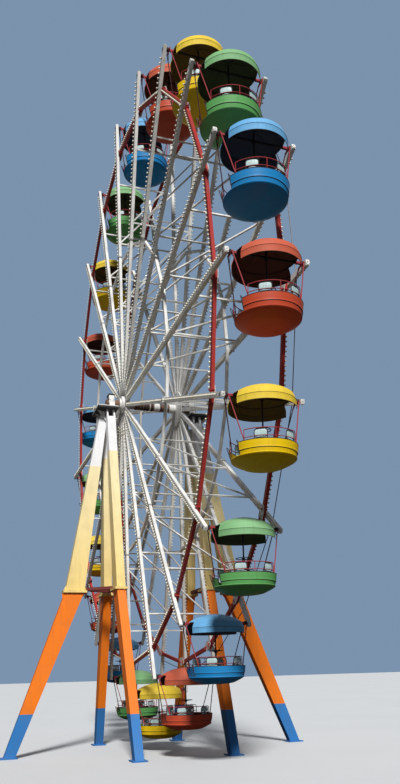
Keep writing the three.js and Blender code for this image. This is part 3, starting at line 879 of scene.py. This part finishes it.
def handwheel_making():
    """A ring with four dished spokes on a boss around the centre post."""
    making = Making()
    height = HANDWHEEL_HEIGHT
    ring = arc(HANDWHEEL_RADIUS, height, 0, TURN, 40)[:-1]
    making.add(tube(ring, HANDWHEEL_TUBE, closed=True))
    for i in range(4):
        angle = QUARTER * (i + 0.5)
        spoke = [radial(angle, 0.03, height - HANDWHEEL_DISH), radial(angle, HANDWHEEL_RADIUS, height)]
        making.add(tube(spoke, HANDWHEEL_SPOKE_TUBE, 6))
    boss = [(0.024, height - 0.07), (0.045, height - 0.06), (0.045, height + 0.01), (0.024, height + 0.02)]
    making.add(turned(boss, 16, loop=True))
    return making


# Each cabin colour: its tub's paint, and its canopy's paler tone, partly the sun's fading and partly painted
# light from the canopy's sunlit top
CABIN_COLOURS = {
    "blue": ((0.006, 0.22, 0.52), (0.2, 0.49, 0.78)),
    "red": ((0.54, 0.068, 0.026), (0.6, 0.13, 0.07)),
    "yellow": ((0.82, 0.54, 0.002), (0.8, 0.59, 0.065)),
    "green": ((0.11, 0.37, 0.1), (0.26, 0.49, 0.245)),
}
COLOUR_ORDER = tuple(CABIN_COLOURS)
# Dark tones that the canopy's underside paint is mixed towards: painted shade, with some dust
UNDER_SHADE, UNDER_SHADE_AND_DUST = (0.07, 0.055, 0.04), (0.09, 0.07, 0.05)


def dressed_shells(colour, deep, pale):
    """One colour's canopy and tub, each with its outer paint and a darker inner paint; the canopy's is
    painted shade.
    """
    # The canopy's paler paint: sun fading, and painted light from its sunlit top
    outer = paint(
        f"canopy_{colour}", toned(deep, 0.35, pale), pale,
        fade=0.9, grime=0.2, wear=0.4, chips=0.1, glossy=0.6, scale=1.5)
    tub_paint = paint(
        f"tub_{colour}", deep, toned(deep, 0.75, pale),
        fade=0.5, grime=0.2, wear=0.4, chips=0.12, glossy=0.5, scale=1.5)
    # The canopy's underside: the cabin's colour darkened as painted shade, with dust
    under = paint(
        f"under_{colour}", toned(deep, 0.14, UNDER_SHADE), toned(deep, 0.25, UNDER_SHADE_AND_DUST),
        fade=0.5, grime=0.5, wear=0.4, chips=0.2, glossy=0.6, scale=2.0)
    inner = paint(
        f"inner_{colour}", toned(deep, 0.5), toned(deep, 0.6),
        fade=0.4, grime=0.5, wear=0.4, chips=0.2, glossy=0.5, scale=2.0)
    canopy = canopy_making().mesh(f"canopy_{colour}", [outer, under, dark_paint_and_shade], 40)
    recoloured_underside(canopy)
    tub = tub_making().mesh(f"tub_{colour}", [tub_paint, dark_paint_and_shade, floor_rubber, inner], 40)
    recoloured_inside(tub)
    return canopy, tub


def hung_cabins():
    """The 20 cabins, each hung at its pin and upright."""
    frame_mesh = frame_making().mesh("hanging_frame", [frame_red, dark_paint_and_shade, bolt_steel, painted_shade_red])
    seats_mesh = seats_making().mesh("seats", [seat_grey, dark_paint_and_shade])
    handwheel_mesh = handwheel_making().mesh("handwheel", [dark_paint_and_shade])
    shells = {colour: dressed_shells(colour, *tones) for colour, tones in CABIN_COLOURS.items()}
    for i in range(CABIN_COUNT):
        number = f"{i + 1:02d}"
        body = f"hung_cabin_{number}"
        colour = COLOUR_ORDER[i % len(COLOUR_ORDER)]
        canopy, tub = shells[colour]
        angle = i * STEP_ANGLE
        pin = (PIN_REACH * math.sin(angle), 0, AXLE_HEIGHT + PIN_REACH * math.cos(angle))
        placed_tub = placed(f"tub_{number}", tub, body, pin)
        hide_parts(f"cabin_{number}")
        placed(f"canopy_{number}", canopy, body, pin)
        placed(f"hanging_frame_{number}", frame_mesh, body, pin)
        placed(f"seats_{number}", seats_mesh, body, pin)
        placed(f"handwheel_{number}", handwheel_mesh, body, pin)


# Bulbs: cream globes in dark sockets along the outward faces of the spokes and rims
SOCKET, GLOBE = range(2)
SOCKET_TOP = 0.024
BULB = turned([
    (0.0, 0.0), (0.024, 0.0), (0.024, 0.019), (0.018, SOCKET_TOP), (0.031, 0.047), (0.024, 0.069),
    (0.0, 0.077),
], 7)
BULB_SPACING = 0.135
FIRST_SPOKE_BULB = 0.95
SPOKE_TIP_CLEAR, SPLICE_CLEAR, FORK_CLEAR, RIM_END_CLEAR = 0.2, 0.07, 0.1, 0.22


def add_bulb(making, at):
    """One bulb, with the faces up to its neck in the socket's finish."""
    corners, faces = BULB
    first = len(making.finish_of)
    making.add(BULB, GLOBE, at)
    for f, face in enumerate(faces):
        if max(corners[v][2] for v in face) <= SOCKET_TOP + NEAR_ZERO:
            making.finish_of[first + f] = SOCKET


def bulb_reaches(start, end, skips):
    """Evenly spaced reaches, without those near the middle of a skip."""
    count = int((end - start) / BULB_SPACING)
    reaches = [start + BULB_SPACING * i for i in range(count + 1)]
    return [r for r in reaches if all(abs(r - middle) > half for middle, half in skips)]


def spoke_bulbs(number, angle):
    """Bulbs along the two spokes of a pair, clear of the splices and of the rope's fork."""
    making = Making()
    turn = around_axle(angle)
    for side in (-1, 1):
        skips = [(SPLICE_REACH, SPLICE_CLEAR)]
        if side > 0:
            skips.append((ROPE_REACH, FORK_CLEAR))
        for reach in bulb_reaches(FIRST_SPOKE_BULB, PIN_REACH - SPOKE_TIP_CLEAR, skips):
            add_bulb(making, turn @ facing((0, side * SPOKE_OUTER_FACE, reach), (0, side, 0)))
    making.place(f"spoke_bulbs_{number}", [socket_dark, glass], "wheel", sharp_angle=50)


def chord(i, reach, share):
    """A point along the straight rim length from spoke i to the next one."""
    angles = (i * STEP_ANGLE, (i + 1) * STEP_ANGLE)
    start, end = (Vector((math.sin(a), 0, math.cos(a))) * reach for a in angles)
    return start.lerp(end, share) + Vector((0, 0, AXLE_HEIGHT))


def rim_bulbs(name, side):
    """Bulbs along each straight length of one rim, clear of its joints."""
    making = Making()
    face = side * (SPOKE_INNER_FACE - SEAT_GAP)
    count = int((RIM_LENGTH - 2 * RIM_END_CLEAR) / BULB_SPACING)
    first = (RIM_LENGTH - count * BULB_SPACING) / 2
    for i in range(CABIN_COUNT):
        for j in range(count + 1):
            spot = chord(i, RIM_REACH, (first + j * BULB_SPACING) / RIM_LENGTH)
            add_bulb(making, facing(spot + Vector((0, face, 0)), (0, side, 0)))
    making.place(f"{name}_rim_bulbs", [socket_dark, glass], "wheel", sharp_angle=50)


# Joints of the wheel, each on one spoke of a pair: its place is the spoke's turn and its side
WHEEL_WHITE, WHEEL_BOLTS = range(2)
TIP_CAP = [(0, 0), (0.06, 0), (0.062, 0.004), (0.06, 0.014), (0.02, 0.016), (0.014, 0.006), (0, 0.005)]
TIP_SCREW = [(0, 0.0055), (0.0135, 0.0065), (0.012, 0.009), (0, 0.01)]
SPLICE_OVERHANG, SPLICE_BOLTS_OUT, SPLICE_STAND = 0.035, 0.019, 0.03
SPLICE_FLANGE, SPLICE_JOINT, SPLICE_FACE = 0.018, 0.004, 0.022
SPLICE_BOLT = bolt(0.013, 0.014)
GUSSET = [(-0.3, 0.03), (-0.3, -0.11), (-0.1, -0.22), (0.1, -0.22), (0.3, -0.11), (0.3, 0.03), (0.1, 0.12),
          (-0.1, 0.12)]
GUSSET_SHEET = 0.012
GUSSET_BOLT = bolt(0.016, 0.016)
GUSSET_BOLTS_AT = (-0.22, -0.08, 0.08, 0.22)
SPOKE_FOOT_BOLT = bolt(0.016, 0.02)
SPOKE_FOOT_BOLTS_AT = [(x, z) for z in (0.57, 0.65) for x in (-0.04, 0.04)]
FLANGE_FROM_START, FLANGE_FROM_END = 0.15, 0.176
FLANGE_RING = [(0.02, 0), (0.102, 0), (0.108, 0.004), (0.108, 0.022), (0.102, 0.026), (0.02, 0.026)]


def tip_cap(making, turn, side):
    """A round cap and its screw on the spoke's end."""
    middle = (SPOKE_INNER_FACE + SPOKE_OUTER_FACE) / 2
    tip = turn @ Matrix.Translation((0, side * middle, SPOKE_TIP))
    making.add(turned(TIP_CAP, 24), WHEEL_WHITE, tip)
    making.add(turned(TIP_SCREW, 12), WHEEL_BOLTS, tip)


def splice(making, turn, side):
    """Two flanges bolted together where the spoke's lengths meet."""
    half = SPOKE_WIDTH / 2
    edge, bolts_out = half + SPLICE_OVERHANG, half + SPLICE_BOLTS_OUT
    inner, outer = SPOKE_INNER_FACE + 0.004, SPOKE_OUTER_FACE + SPLICE_STAND
    low, high = sorted((side * inner, side * outer))
    for z in (SPLICE_REACH - SPLICE_FACE, SPLICE_REACH + SPLICE_JOINT):
        flange = block((-edge, low, z), (edge, high, z + SPLICE_FLANGE), 0.003)
        making.add(flange, WHEEL_WHITE, turn)
    for x in (-bolts_out, bolts_out):
        for y in (side * (SPOKE_INNER_FACE + 0.03), side * SPOKE_OUTER_FACE):
            for way in (1, -1):
                spot = facing((x, y, SPLICE_REACH + way * SPLICE_FACE), (0, 0, way))
                making.add(SPLICE_BOLT, WHEEL_BOLTS, turn @ spot)


def rim_gusset(making, turn, side):
    """A bolted gusset plate behind the rim's joint."""
    inboard = side * (SPOKE_INNER_FACE - RIM_DEPTH - SEAT_GAP)
    face = inboard - side * GUSSET_SHEET
    low, high = sorted((inboard, face))
    making.add(plate([(x, RIM_REACH + z) for x, z in GUSSET], low, high), WHEEL_WHITE, turn)
    for x in GUSSET_BOLTS_AT:
        spot = facing((x, face, RIM_REACH - 0.02 - 0.08 * abs(x)), -Vector((0, side, 0)))
        making.add(GUSSET_BOLT, WHEEL_BOLTS, turn @ spot)


def spoke_foot_bolts(making, turn, side):
    """Four bolts through the spoke's foot into the hub."""
    for x, z in SPOKE_FOOT_BOLTS_AT:
        spot = facing((x, side * SPOKE_OUTER_FACE, z), (0, side, 0))
        making.add(SPOKE_FOOT_BOLT, WHEEL_BOLTS, turn @ spot)


def spoke_joints(number, angle):
    """The caps, splices, gussets and bolts of one pair of spokes."""
    making = Making()
    turn = around_axle(angle)
    for side in (-1, 1):
        for joint in (tip_cap, splice, rim_gusset, spoke_foot_bolts):
            joint(making, turn, side)
    making.place(f"spoke_joints_{number}", [wheel_white, bolt_steel], "wheel", "wheel_white")


def rim_flanges(name, side):
    """A round flange near each end of every straight rim length."""
    making = Making()
    middle = side * (SPOKE_INNER_FACE - RIM_DEPTH / 2)
    for i in range(CABIN_COUNT):
        way = (chord(i, RIM_REACH, 1) - chord(i, RIM_REACH, 0)).normalized()
        for share in (FLANGE_FROM_START / RIM_LENGTH, 1 - FLANGE_FROM_END / RIM_LENGTH):
            spot = facing(chord(i, RIM_REACH, share) + Vector((0, middle, 0)), way)
            making.add(turned(FLANGE_RING, 20, loop=True), at=spot)
    making.place(f"{name}_rim_flanges", [rim_red], "wheel", "rim_red")


# Drive rope, and the forks that hold it
FORK_SEAT = ROPE_REACH - 0.02
FORK_ROOT = FORK_SEAT - 0.14
FORK_PRONG = [(0.02, -0.13), (0.06, -0.03), (0.075, 0.06)]
FORK_BEND, FORK_TUBE, FORK_STUB_TUBE = 0.04, 0.008, 0.03
FORK_REST_HALF, FORK_REST_DROP = 0.065, 0.012


def drive_rope():
    """The laid wire rope, straight from fork to fork."""
    making = Making()
    spots = [(i, share) for i in range(CABIN_COUNT) for share in (0, 0.25, 0.5, 0.75)]
    points = [chord(i, ROPE_REACH, share) + Vector((0, ROPE_Y, 0)) for i, share in spots]
    making.add(tube(points, ROPE_RADIUS, 8, closed=True))
    rope = making.place("laid_rope", [rope_steel], "wheel", "rope_steel")
    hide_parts("drive_rope")


def rope_forks():
    """White forks that stand on the back spokes, just outside the rim, and hold the rope."""
    making = Making()
    for i in range(CABIN_COUNT):
        turn = around_axle(i * STEP_ANGLE)
        for side in (-1, 1):
            prong = rounded([(side * x, ROPE_Y, FORK_SEAT + z) for x, z in FORK_PRONG], FORK_BEND)
            making.add(tube(prong, FORK_TUBE, 6), at=turn)
        stub = [(0, SPOKE_OUTER_FACE - 0.002, FORK_ROOT), (0, ROPE_Y + 0.012, FORK_ROOT)]
        making.add(tube(stub, FORK_STUB_TUBE, 10), at=turn)
        rest = [(x, ROPE_Y, FORK_SEAT - FORK_REST_DROP) for x in (-FORK_REST_HALF, FORK_REST_HALF)]
        making.add(tube(rest, FORK_TUBE, 6), at=turn)
    making.place("rope_forks", [wheel_white], "wheel", "wheel_white")


# Hubs: a coned inner plate and a bored drum, with a bolt circle on each
HUB_BORE = SHAFT_RADIUS + 0.0005
HUB_DRUM = 0.318
HUB_INNER, HUB_OUTER = SPOKE_INNER_FACE - SEAT_GAP, SPOKE_OUTER_FACE
HUB_BOLT = bolt(0.016, 0.018)
HUB_PROFILE = [
    (HUB_BORE, 1.012), (0.2, 1.014), (0.3, 1.032), (0.68, 1.07), (0.687, 1.076), (0.687, HUB_INNER - 0.004),
    (0.682, HUB_INNER), (HUB_DRUM, HUB_INNER), (HUB_DRUM, HUB_OUTER + 0.046),
    (HUB_DRUM - 0.012, HUB_OUTER + 0.058), (0.235, HUB_OUTER + 0.06), (0.22, HUB_OUTER + 0.075),
    (0.22, HUB_OUTER + 0.12), (0.21, HUB_OUTER + 0.132), (HUB_BORE, HUB_OUTER + 0.135),
]


def bolt_circle(making, place, count, radius, height, way):
    """Bolts around the shaft's line, on a face at a height along it."""
    for i in range(count):
        spot = place @ facing(radial(TURN * i / count, radius, height), (0, 0, way))
        making.add(HUB_BOLT, WHEEL_BOLTS, spot)


def hub_shell(name, side):
    """One hub, bored for the shaft, with the bolts of its drum and of its inner plate."""
    making = Making()
    place = on_shaft(side)
    making.add(turned(HUB_PROFILE, 64, loop=True), WHEEL_WHITE, place)
    bolt_circle(making, place, 12, 0.277, HUB_OUTER + 0.058, 1)
    bolt_circle(making, place, CABIN_COUNT, 0.63, 1.064, -1)
    hub = making.place(f"{name}_hub_shell", [wheel_white, bolt_steel], "wheel", "wheel_white")
    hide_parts(f"{name}_hub")


# Shaft, with rings and sleeves from the front hub to the back one: (middle, half length, thickness, finish)
SHAFT_RUST, SHAFT_STEEL, SHAFT_WHITE, SHAFT_DARK = range(4)
SHAFT_RINGS = [
    (-0.87, 0.13, 0.006, SHAFT_STEEL), (-0.66, 0.036, 0.022, SHAFT_DARK), (-0.54, 0.036, 0.022, SHAFT_DARK),
    (-0.42, 0.036, 0.022, SHAFT_DARK), (-0.3, 0.036, 0.022, SHAFT_DARK), (-0.18, 0.036, 0.022, SHAFT_DARK),
    (-0.08, 0.014, 0.02, SHAFT_WHITE), (0.0, 0.03, 0.02, SHAFT_DARK), (0.215, 0.12, 0.014, SHAFT_WHITE),
    (0.38, 0.02, 0.016, SHAFT_DARK), (0.87, 0.135, 0.03, SHAFT_WHITE),
]


def shaft_rod():
    """The rusty shaft from bearing to bearing, with what is fitted round it."""
    making = Making()
    place = on_shaft()
    end = SHAFT_HALF_LENGTH
    radius = SHAFT_RADIUS - 0.0005
    chamfer = 0.012
    edge = radius - chamfer
    rod = [(0, -end), (edge, -end), (radius, -end + chamfer), (radius, end - chamfer), (edge, end), (0, end)]
    making.add(turned(rod, 40), SHAFT_RUST, place)
    for middle, half, thickness, finish in SHAFT_RINGS:
        low, high = middle - half, middle + half
        inside, outside = radius - 0.01, radius + thickness
        ring = [(inside, low), (outside, low + 0.004), (outside, high - 0.004), (inside, high)]
        making.add(turned(ring, 40, loop=True), finish, place)
    finishes = [shaft_rust, worn_steel, wheel_white, dark_paint_and_shade]
    shaft = making.place("shaft_rod", finishes, "wheel", "shaft_rust")
    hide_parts("axle_shaft")


# Bearings: a split white housing with dark collars and a dark lid, on its bolted plate over the legs
HOUSING_WHITE, HOUSING_DARK_AND_SHADE, HOUSING_BOLTS = range(3)
HOUSING_HALF_DEPTH = 0.108
HOUSING_TOP = 0.285
LID_TOP = 0.338
PLATE_NEAR, PLATE_FAR = 1.502, 2.328
LUG_BOLT, LID_BOLT, PLATE_BOLT = bolt(0.022, 0.036), bolt(0.02, 0.02), bolt(0.024, 0.03)
LUG_X, LUG_Y, LUG_HALF_X, LUG_HALF_Y, LUG_TOP = 0.225, 0.075, 0.034, 0.045, 0.05
STRAP_X, STRAP_HALF_SHEET = 0.235, 0.014
BEARING_STRAP = [(2.29, BEARING_FOOT + 0.002), (2.18, BEARING_FOOT + 0.002), (1.84, 13.17), (1.9, 13.12)]


def bearing_housing(making, place):
    """The two halves around the shaft, the lid, the collars, and the bolted lugs that join the halves."""
    seat = BEARING_SEAT - AXLE_HEIGHT + 0.0005
    bore = SHAFT_RADIUS + 0.004
    angles = [math.pi * i / 16 for i in range(1, 16)]
    over = [(bore * math.cos(a), bore * math.sin(a)) for a in angles]
    upper = [(bore, 0.006), (0.246, 0.006), (0.24, 0.05), (0.204, 0.2), (0.177, HOUSING_TOP),
             (-0.177, HOUSING_TOP), (-0.204, 0.2), (-0.24, 0.05), (-0.246, 0.006), (-bore, 0.006)]
    lower = [(-bore, 0), (-0.247, 0), (-0.262, -0.05), (-0.336, seat), (0.336, seat), (0.262, -0.05),
             (0.247, 0), (bore, 0)]
    depth = HOUSING_HALF_DEPTH
    making.add(plate(upper + over[::-1], -depth + 0.006, depth - 0.006), HOUSING_WHITE, place)
    making.add(plate(lower + [(x, -z) for x, z in over], -depth, depth), HOUSING_WHITE, place)
    making.add(block((-0.2, -0.125, 0.283), (0.2, 0.125, LID_TOP), 0.01), HOUSING_DARK_AND_SHADE, place)
    collar = [(bore, 0), (0.2, 0), (0.2, 0.014), (0.188, 0.02), (bore, 0.02)]
    for face in (-1, 1):
        at = place @ facing((0, face * depth - face * 0.01, 0), (0, face, 0))
        making.add(turned(collar, 40, loop=True), HOUSING_DARK_AND_SHADE, at)
    for x in (-LUG_X, LUG_X):
        for y in (-LUG_Y, LUG_Y):
            low = (x - LUG_HALF_X, y - LUG_HALF_Y, -0.045)
            high = (x + LUG_HALF_X, y + LUG_HALF_Y, LUG_TOP)
            making.add(block(low, high), HOUSING_WHITE, place)
            making.add(LUG_BOLT, HOUSING_BOLTS, place @ facing((x, y, LUG_TOP), (0, 0, 1)))
    for x in (-0.15, 0.15):
        for y in (-0.1, 0.1):
            making.add(LID_BOLT, HOUSING_BOLTS, place @ facing((x, y, LID_TOP), (0, 0, 1)))


def bearing_plate(making, side):
    """The plate, dark as painted shade under its white top, the bolts through it, and the straps down to the
    outward leg.
    """
    inner, outer = sorted((side * PLATE_NEAR, side * PLATE_FAR))
    under = (-0.632, inner + 0.006, BEARING_FOOT + 0.001), (0.632, outer - 0.006, BEARING_SEAT - 0.02)
    top = (-0.638, inner, BEARING_SEAT - 0.035), (0.638, outer, BEARING_SEAT - 0.001)
    # The plate's dark body is painted shade below its white top
    making.add(block(*under, 0.01), HOUSING_DARK_AND_SHADE)
    making.add(block(*top), HOUSING_WHITE)
    for x in (-0.56, -0.44, 0.44, 0.56):
        for y in (inner + 0.07, outer - 0.07):
            making.add(PLATE_BOLT, HOUSING_BOLTS, facing((x, y, BEARING_SEAT - 0.001), (0, 0, 1)))
    strap = plate(BEARING_STRAP, -STRAP_HALF_SHEET, STRAP_HALF_SHEET)
    for x in (-STRAP_X, STRAP_X):
        quarter_turn = Matrix.Translation((x, 0, 0)) @ Matrix.Rotation(side * QUARTER, 4, "Z")
        making.add(strap, HOUSING_WHITE, quarter_turn)


def bearing_block(name, side):
    """One bearing with its plate, over the heads of three legs."""
    making = Making()
    bearing_housing(making, Matrix.Translation((0, side * BEARING_Y, AXLE_HEIGHT)))
    bearing_plate(making, side)
    finishes = [wheel_white, dark_paint_and_shade, bolt_steel]
    housing = making.place(f"{name}_bearing_block", finishes, "supports", "wheel_white")
    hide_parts(f"{name}_bearing")


# Bolts and gussets of the legs' flanges. A slope is how far a leg's face moves in for each metre of height
LEG_BOLTS, LEG_GUSSETS = range(2)
SIDE_SLOPES = ((0.147, 0.083), (0.346, 0.394))
OUTWARD_SLOPES = ((0.214, 0.151), (0.388, 0.437))
GUSSET_REACH, GUSSET_HEIGHT = 0.075, 0.2
GUSSET_SINK, GUSSET_HALF_SHEET, GUSSET_Y = 0.01, 0.008, 0.1
FLANGE_BOLT = bolt(0.02, 0.024)
FLANGE_BOLTS_OUT, FLANGE_BOLTS_SIDE = (KINK_WIDTH + FLANGE_MARGIN) / 2, (LEG_THICKNESS + FLANGE_MARGIN) / 2


def leg_gussets(making, centre, slopes, turn):
    """Triangular plates above and below one flange, on the leg's leading and trailing faces."""
    for (outer_slope, inner_slope), way in zip(slopes, (1, -1)):
        level = KINK_HEIGHT + way * FLANGE_HALF
        tip = level + way * GUSSET_HEIGHT
        for face, slope in ((1, outer_slope), (-1, inner_slope)):
            edge = centre + face * KINK_WIDTH / 2
            foot = edge - slope * way * FLANGE_HALF
            head = edge - slope * way * (FLANGE_HALF + GUSSET_HEIGHT)
            sink = face * GUSSET_SINK
            corner = (foot + face * GUSSET_REACH, level)
            outline = [(foot - sink, level), corner, (head, tip), (head - sink, tip)]
            for y in (-GUSSET_Y, GUSSET_Y):
                sheet = plate(outline, y - GUSSET_HALF_SHEET, y + GUSSET_HALF_SHEET)
                making.add(sheet, LEG_GUSSETS, turn)


def flange_bolts(making, x, y, crosswise):
    """Bolts on both faces of one leg's flange, all round the leg."""
    out, side = FLANGE_BOLTS_OUT, FLANGE_BOLTS_SIDE
    spots = [(a, b) for a in (-out, -0.2, 0.2, out) for b in (-side, side)]
    spots += [(-out, 0), (out, 0)]
    for a, b in spots:
        dx, dy = (b, a) if crosswise else (a, b)
        for way in (1, -1):
            spot = facing((x + dx, y + dy, KINK_HEIGHT + way * FLANGE_HALF), (0, 0, way))
            making.add(FLANGE_BOLT, LEG_BOLTS, spot)


def leg_bolts():
    """The gussets and bolts of the six legs' flanges."""
    making = Making()
    for side in (-1, 1):
        for flip in (0, math.pi):
            turn = Matrix.Translation((0, side * SIDE_LEG_Y, 0)) @ Matrix.Rotation(flip, 4, "Z")
            leg_gussets(making, SIDE_KINK_X, SIDE_SLOPES, turn)
    for side in (-1, 1):
        leg_gussets(making, OUTWARD_KINK_Y, OUTWARD_SLOPES, Matrix.Rotation(side * QUARTER, 4, "Z"))
    for side in (-1, 1):
        for x in (-SIDE_KINK_X, SIDE_KINK_X):
            flange_bolts(making, x, side * SIDE_LEG_Y, crosswise=False)
    for side in (-1, 1):
        flange_bolts(making, 0, side * OUTWARD_KINK_Y, crosswise=True)
    making.place("leg_flange_bolts", [bolt_steel, leg_paint], "supports", "leg_paint")


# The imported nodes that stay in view: a word in a node's name, its finish, and its eased edge
PACKED_FINISHES = (
    ("spoke_frame", wheel_white, 0.006, 1),
    ("rim", rim_red, 0.006, 1),
    ("inner_ring", wheel_white, 0.006, 1),
    ("leg_ties", tie_paint, 0.015, 2),
    ("leg", leg_paint, 0.015, 2),
)


def dress_packed_nodes():
    """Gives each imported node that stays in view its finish, with its edges eased."""
    for name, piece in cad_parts.items():
        for word, finish, width, segments in PACKED_FINISHES:
            if word in name:
                piece.data.materials.clear()
                piece.data.materials.append(finish)
                eased = piece.modifiers.new("eased_edges", "BEVEL")
                eased.width = width
                eased.segments = segments
                eased.limit_method = "ANGLE"
                break


# The studio: a sun's strength, its softness in degrees, and the way that it shines
KEY_LIGHT = (4.1, 9, (-0.736, 0.211, -0.643))
BACK_LIGHT = (0.4, 60, (0.7, -0.4, -0.6))
BACKDROP = (0.2, 0.29, 0.42, 1.0)
SOFT_LIGHT = (0.075, 0.09, 0.115, 1.0)
FLOOR_REACH = 400


def sun(name, strength, softness, way):
    """A sun lamp that shines one way from far off."""
    light = bpy.data.lights.new(name, "SUN")
    light.energy = strength
    light.angle = math.radians(softness)
    lamp = bpy.data.objects.new(name, light)
    lamp.rotation_mode = "QUATERNION"
    lamp.rotation_quaternion = Vector(way).to_track_quat("-Z", "Y")
    bpy.context.scene.collection.objects.link(lamp)


def studio():
    """A pale floor under a soft key light and a weaker one from behind, before a plain grey-blue backdrop."""
    ground = bpy.data.meshes.new("floor")
    turns = ((-1, -1), (1, -1), (1, 1), (-1, 1))
    ground.from_pydata([(FLOOR_REACH * x, FLOOR_REACH * y, 0) for x, y in turns], [], [[0, 1, 2, 3]])
    ground.materials.append(pale_floor())
    floor = bpy.data.objects.new("floor", ground)
    bpy.context.scene.collection.objects.link(floor)
    world = bpy.data.worlds.new("studio")
    world.use_nodes = True
    tree = world.node_tree
    seen = node(tree, "ShaderNodeLightPath").outputs["Is Camera Ray"]
    tree.links.new(mixed(tree, seen, SOFT_LIGHT, BACKDROP), tree.nodes["Background"].inputs["Color"])
    bpy.context.scene.world = world
    bpy.context.scene.view_settings.view_transform = "Standard"
    sun("key_light", *KEY_LIGHT)
    sun("back_light", *BACK_LIGHT)


# The photograph's viewpoint, in degrees, millimetres of lens and metres
CAMERA_YAW, CAMERA_PITCH, CAMERA_ROLL = 161.01, 2.583, -1.625
CAMERA_LENS = 34.617
CAMERA_SHIFT = 0.315
CAMERA_PLACE = (29.415, -8.292, AXLE_HEIGHT - 10.96)


def viewpoint():
    """The photograph's viewing angle: low, close to the wheel's plane, with the lens shifted up."""
    yaw, pitch, roll = (math.radians(a) for a in (CAMERA_YAW, CAMERA_PITCH, CAMERA_ROLL))
    ahead = Vector((math.cos(yaw) * math.cos(pitch), math.sin(yaw) * math.cos(pitch), math.sin(pitch)))
    level = Vector((math.sin(yaw), -math.cos(yaw), 0))
    upright = level.cross(ahead)
    right = level * math.cos(roll) + upright * math.sin(roll)
    up = upright * math.cos(roll) - level * math.sin(roll)
    lens = bpy.data.cameras.new("camera")
    lens.lens = CAMERA_LENS
    lens.shift_y = CAMERA_SHIFT
    lens.clip_start = 0.1
    lens.clip_end = 2000
    camera = bpy.data.objects.new("camera", lens)
    turn = Matrix((right, up, -ahead)).transposed().to_4x4()
    camera.matrix_world = Matrix.Translation(CAMERA_PLACE) @ turn
    bpy.context.scene.collection.objects.link(camera)
    bpy.context.scene.camera = camera


hung_cabins()
for i in range(CABIN_COUNT):
    spoke_bulbs(f"{i + 1:02d}", i * STEP_ANGLE)
    spoke_joints(f"{i + 1:02d}", i * STEP_ANGLE)
for side_name, side_way in (("front", -1), ("back", 1)):
    rim_bulbs(side_name, side_way)
    rim_flanges(side_name, side_way)
    hub_shell(side_name, side_way)
    bearing_block(side_name, side_way)
drive_rope()
rope_forks()
shaft_rod()
leg_bolts()
dress_packed_nodes()
studio()
viewpoint()
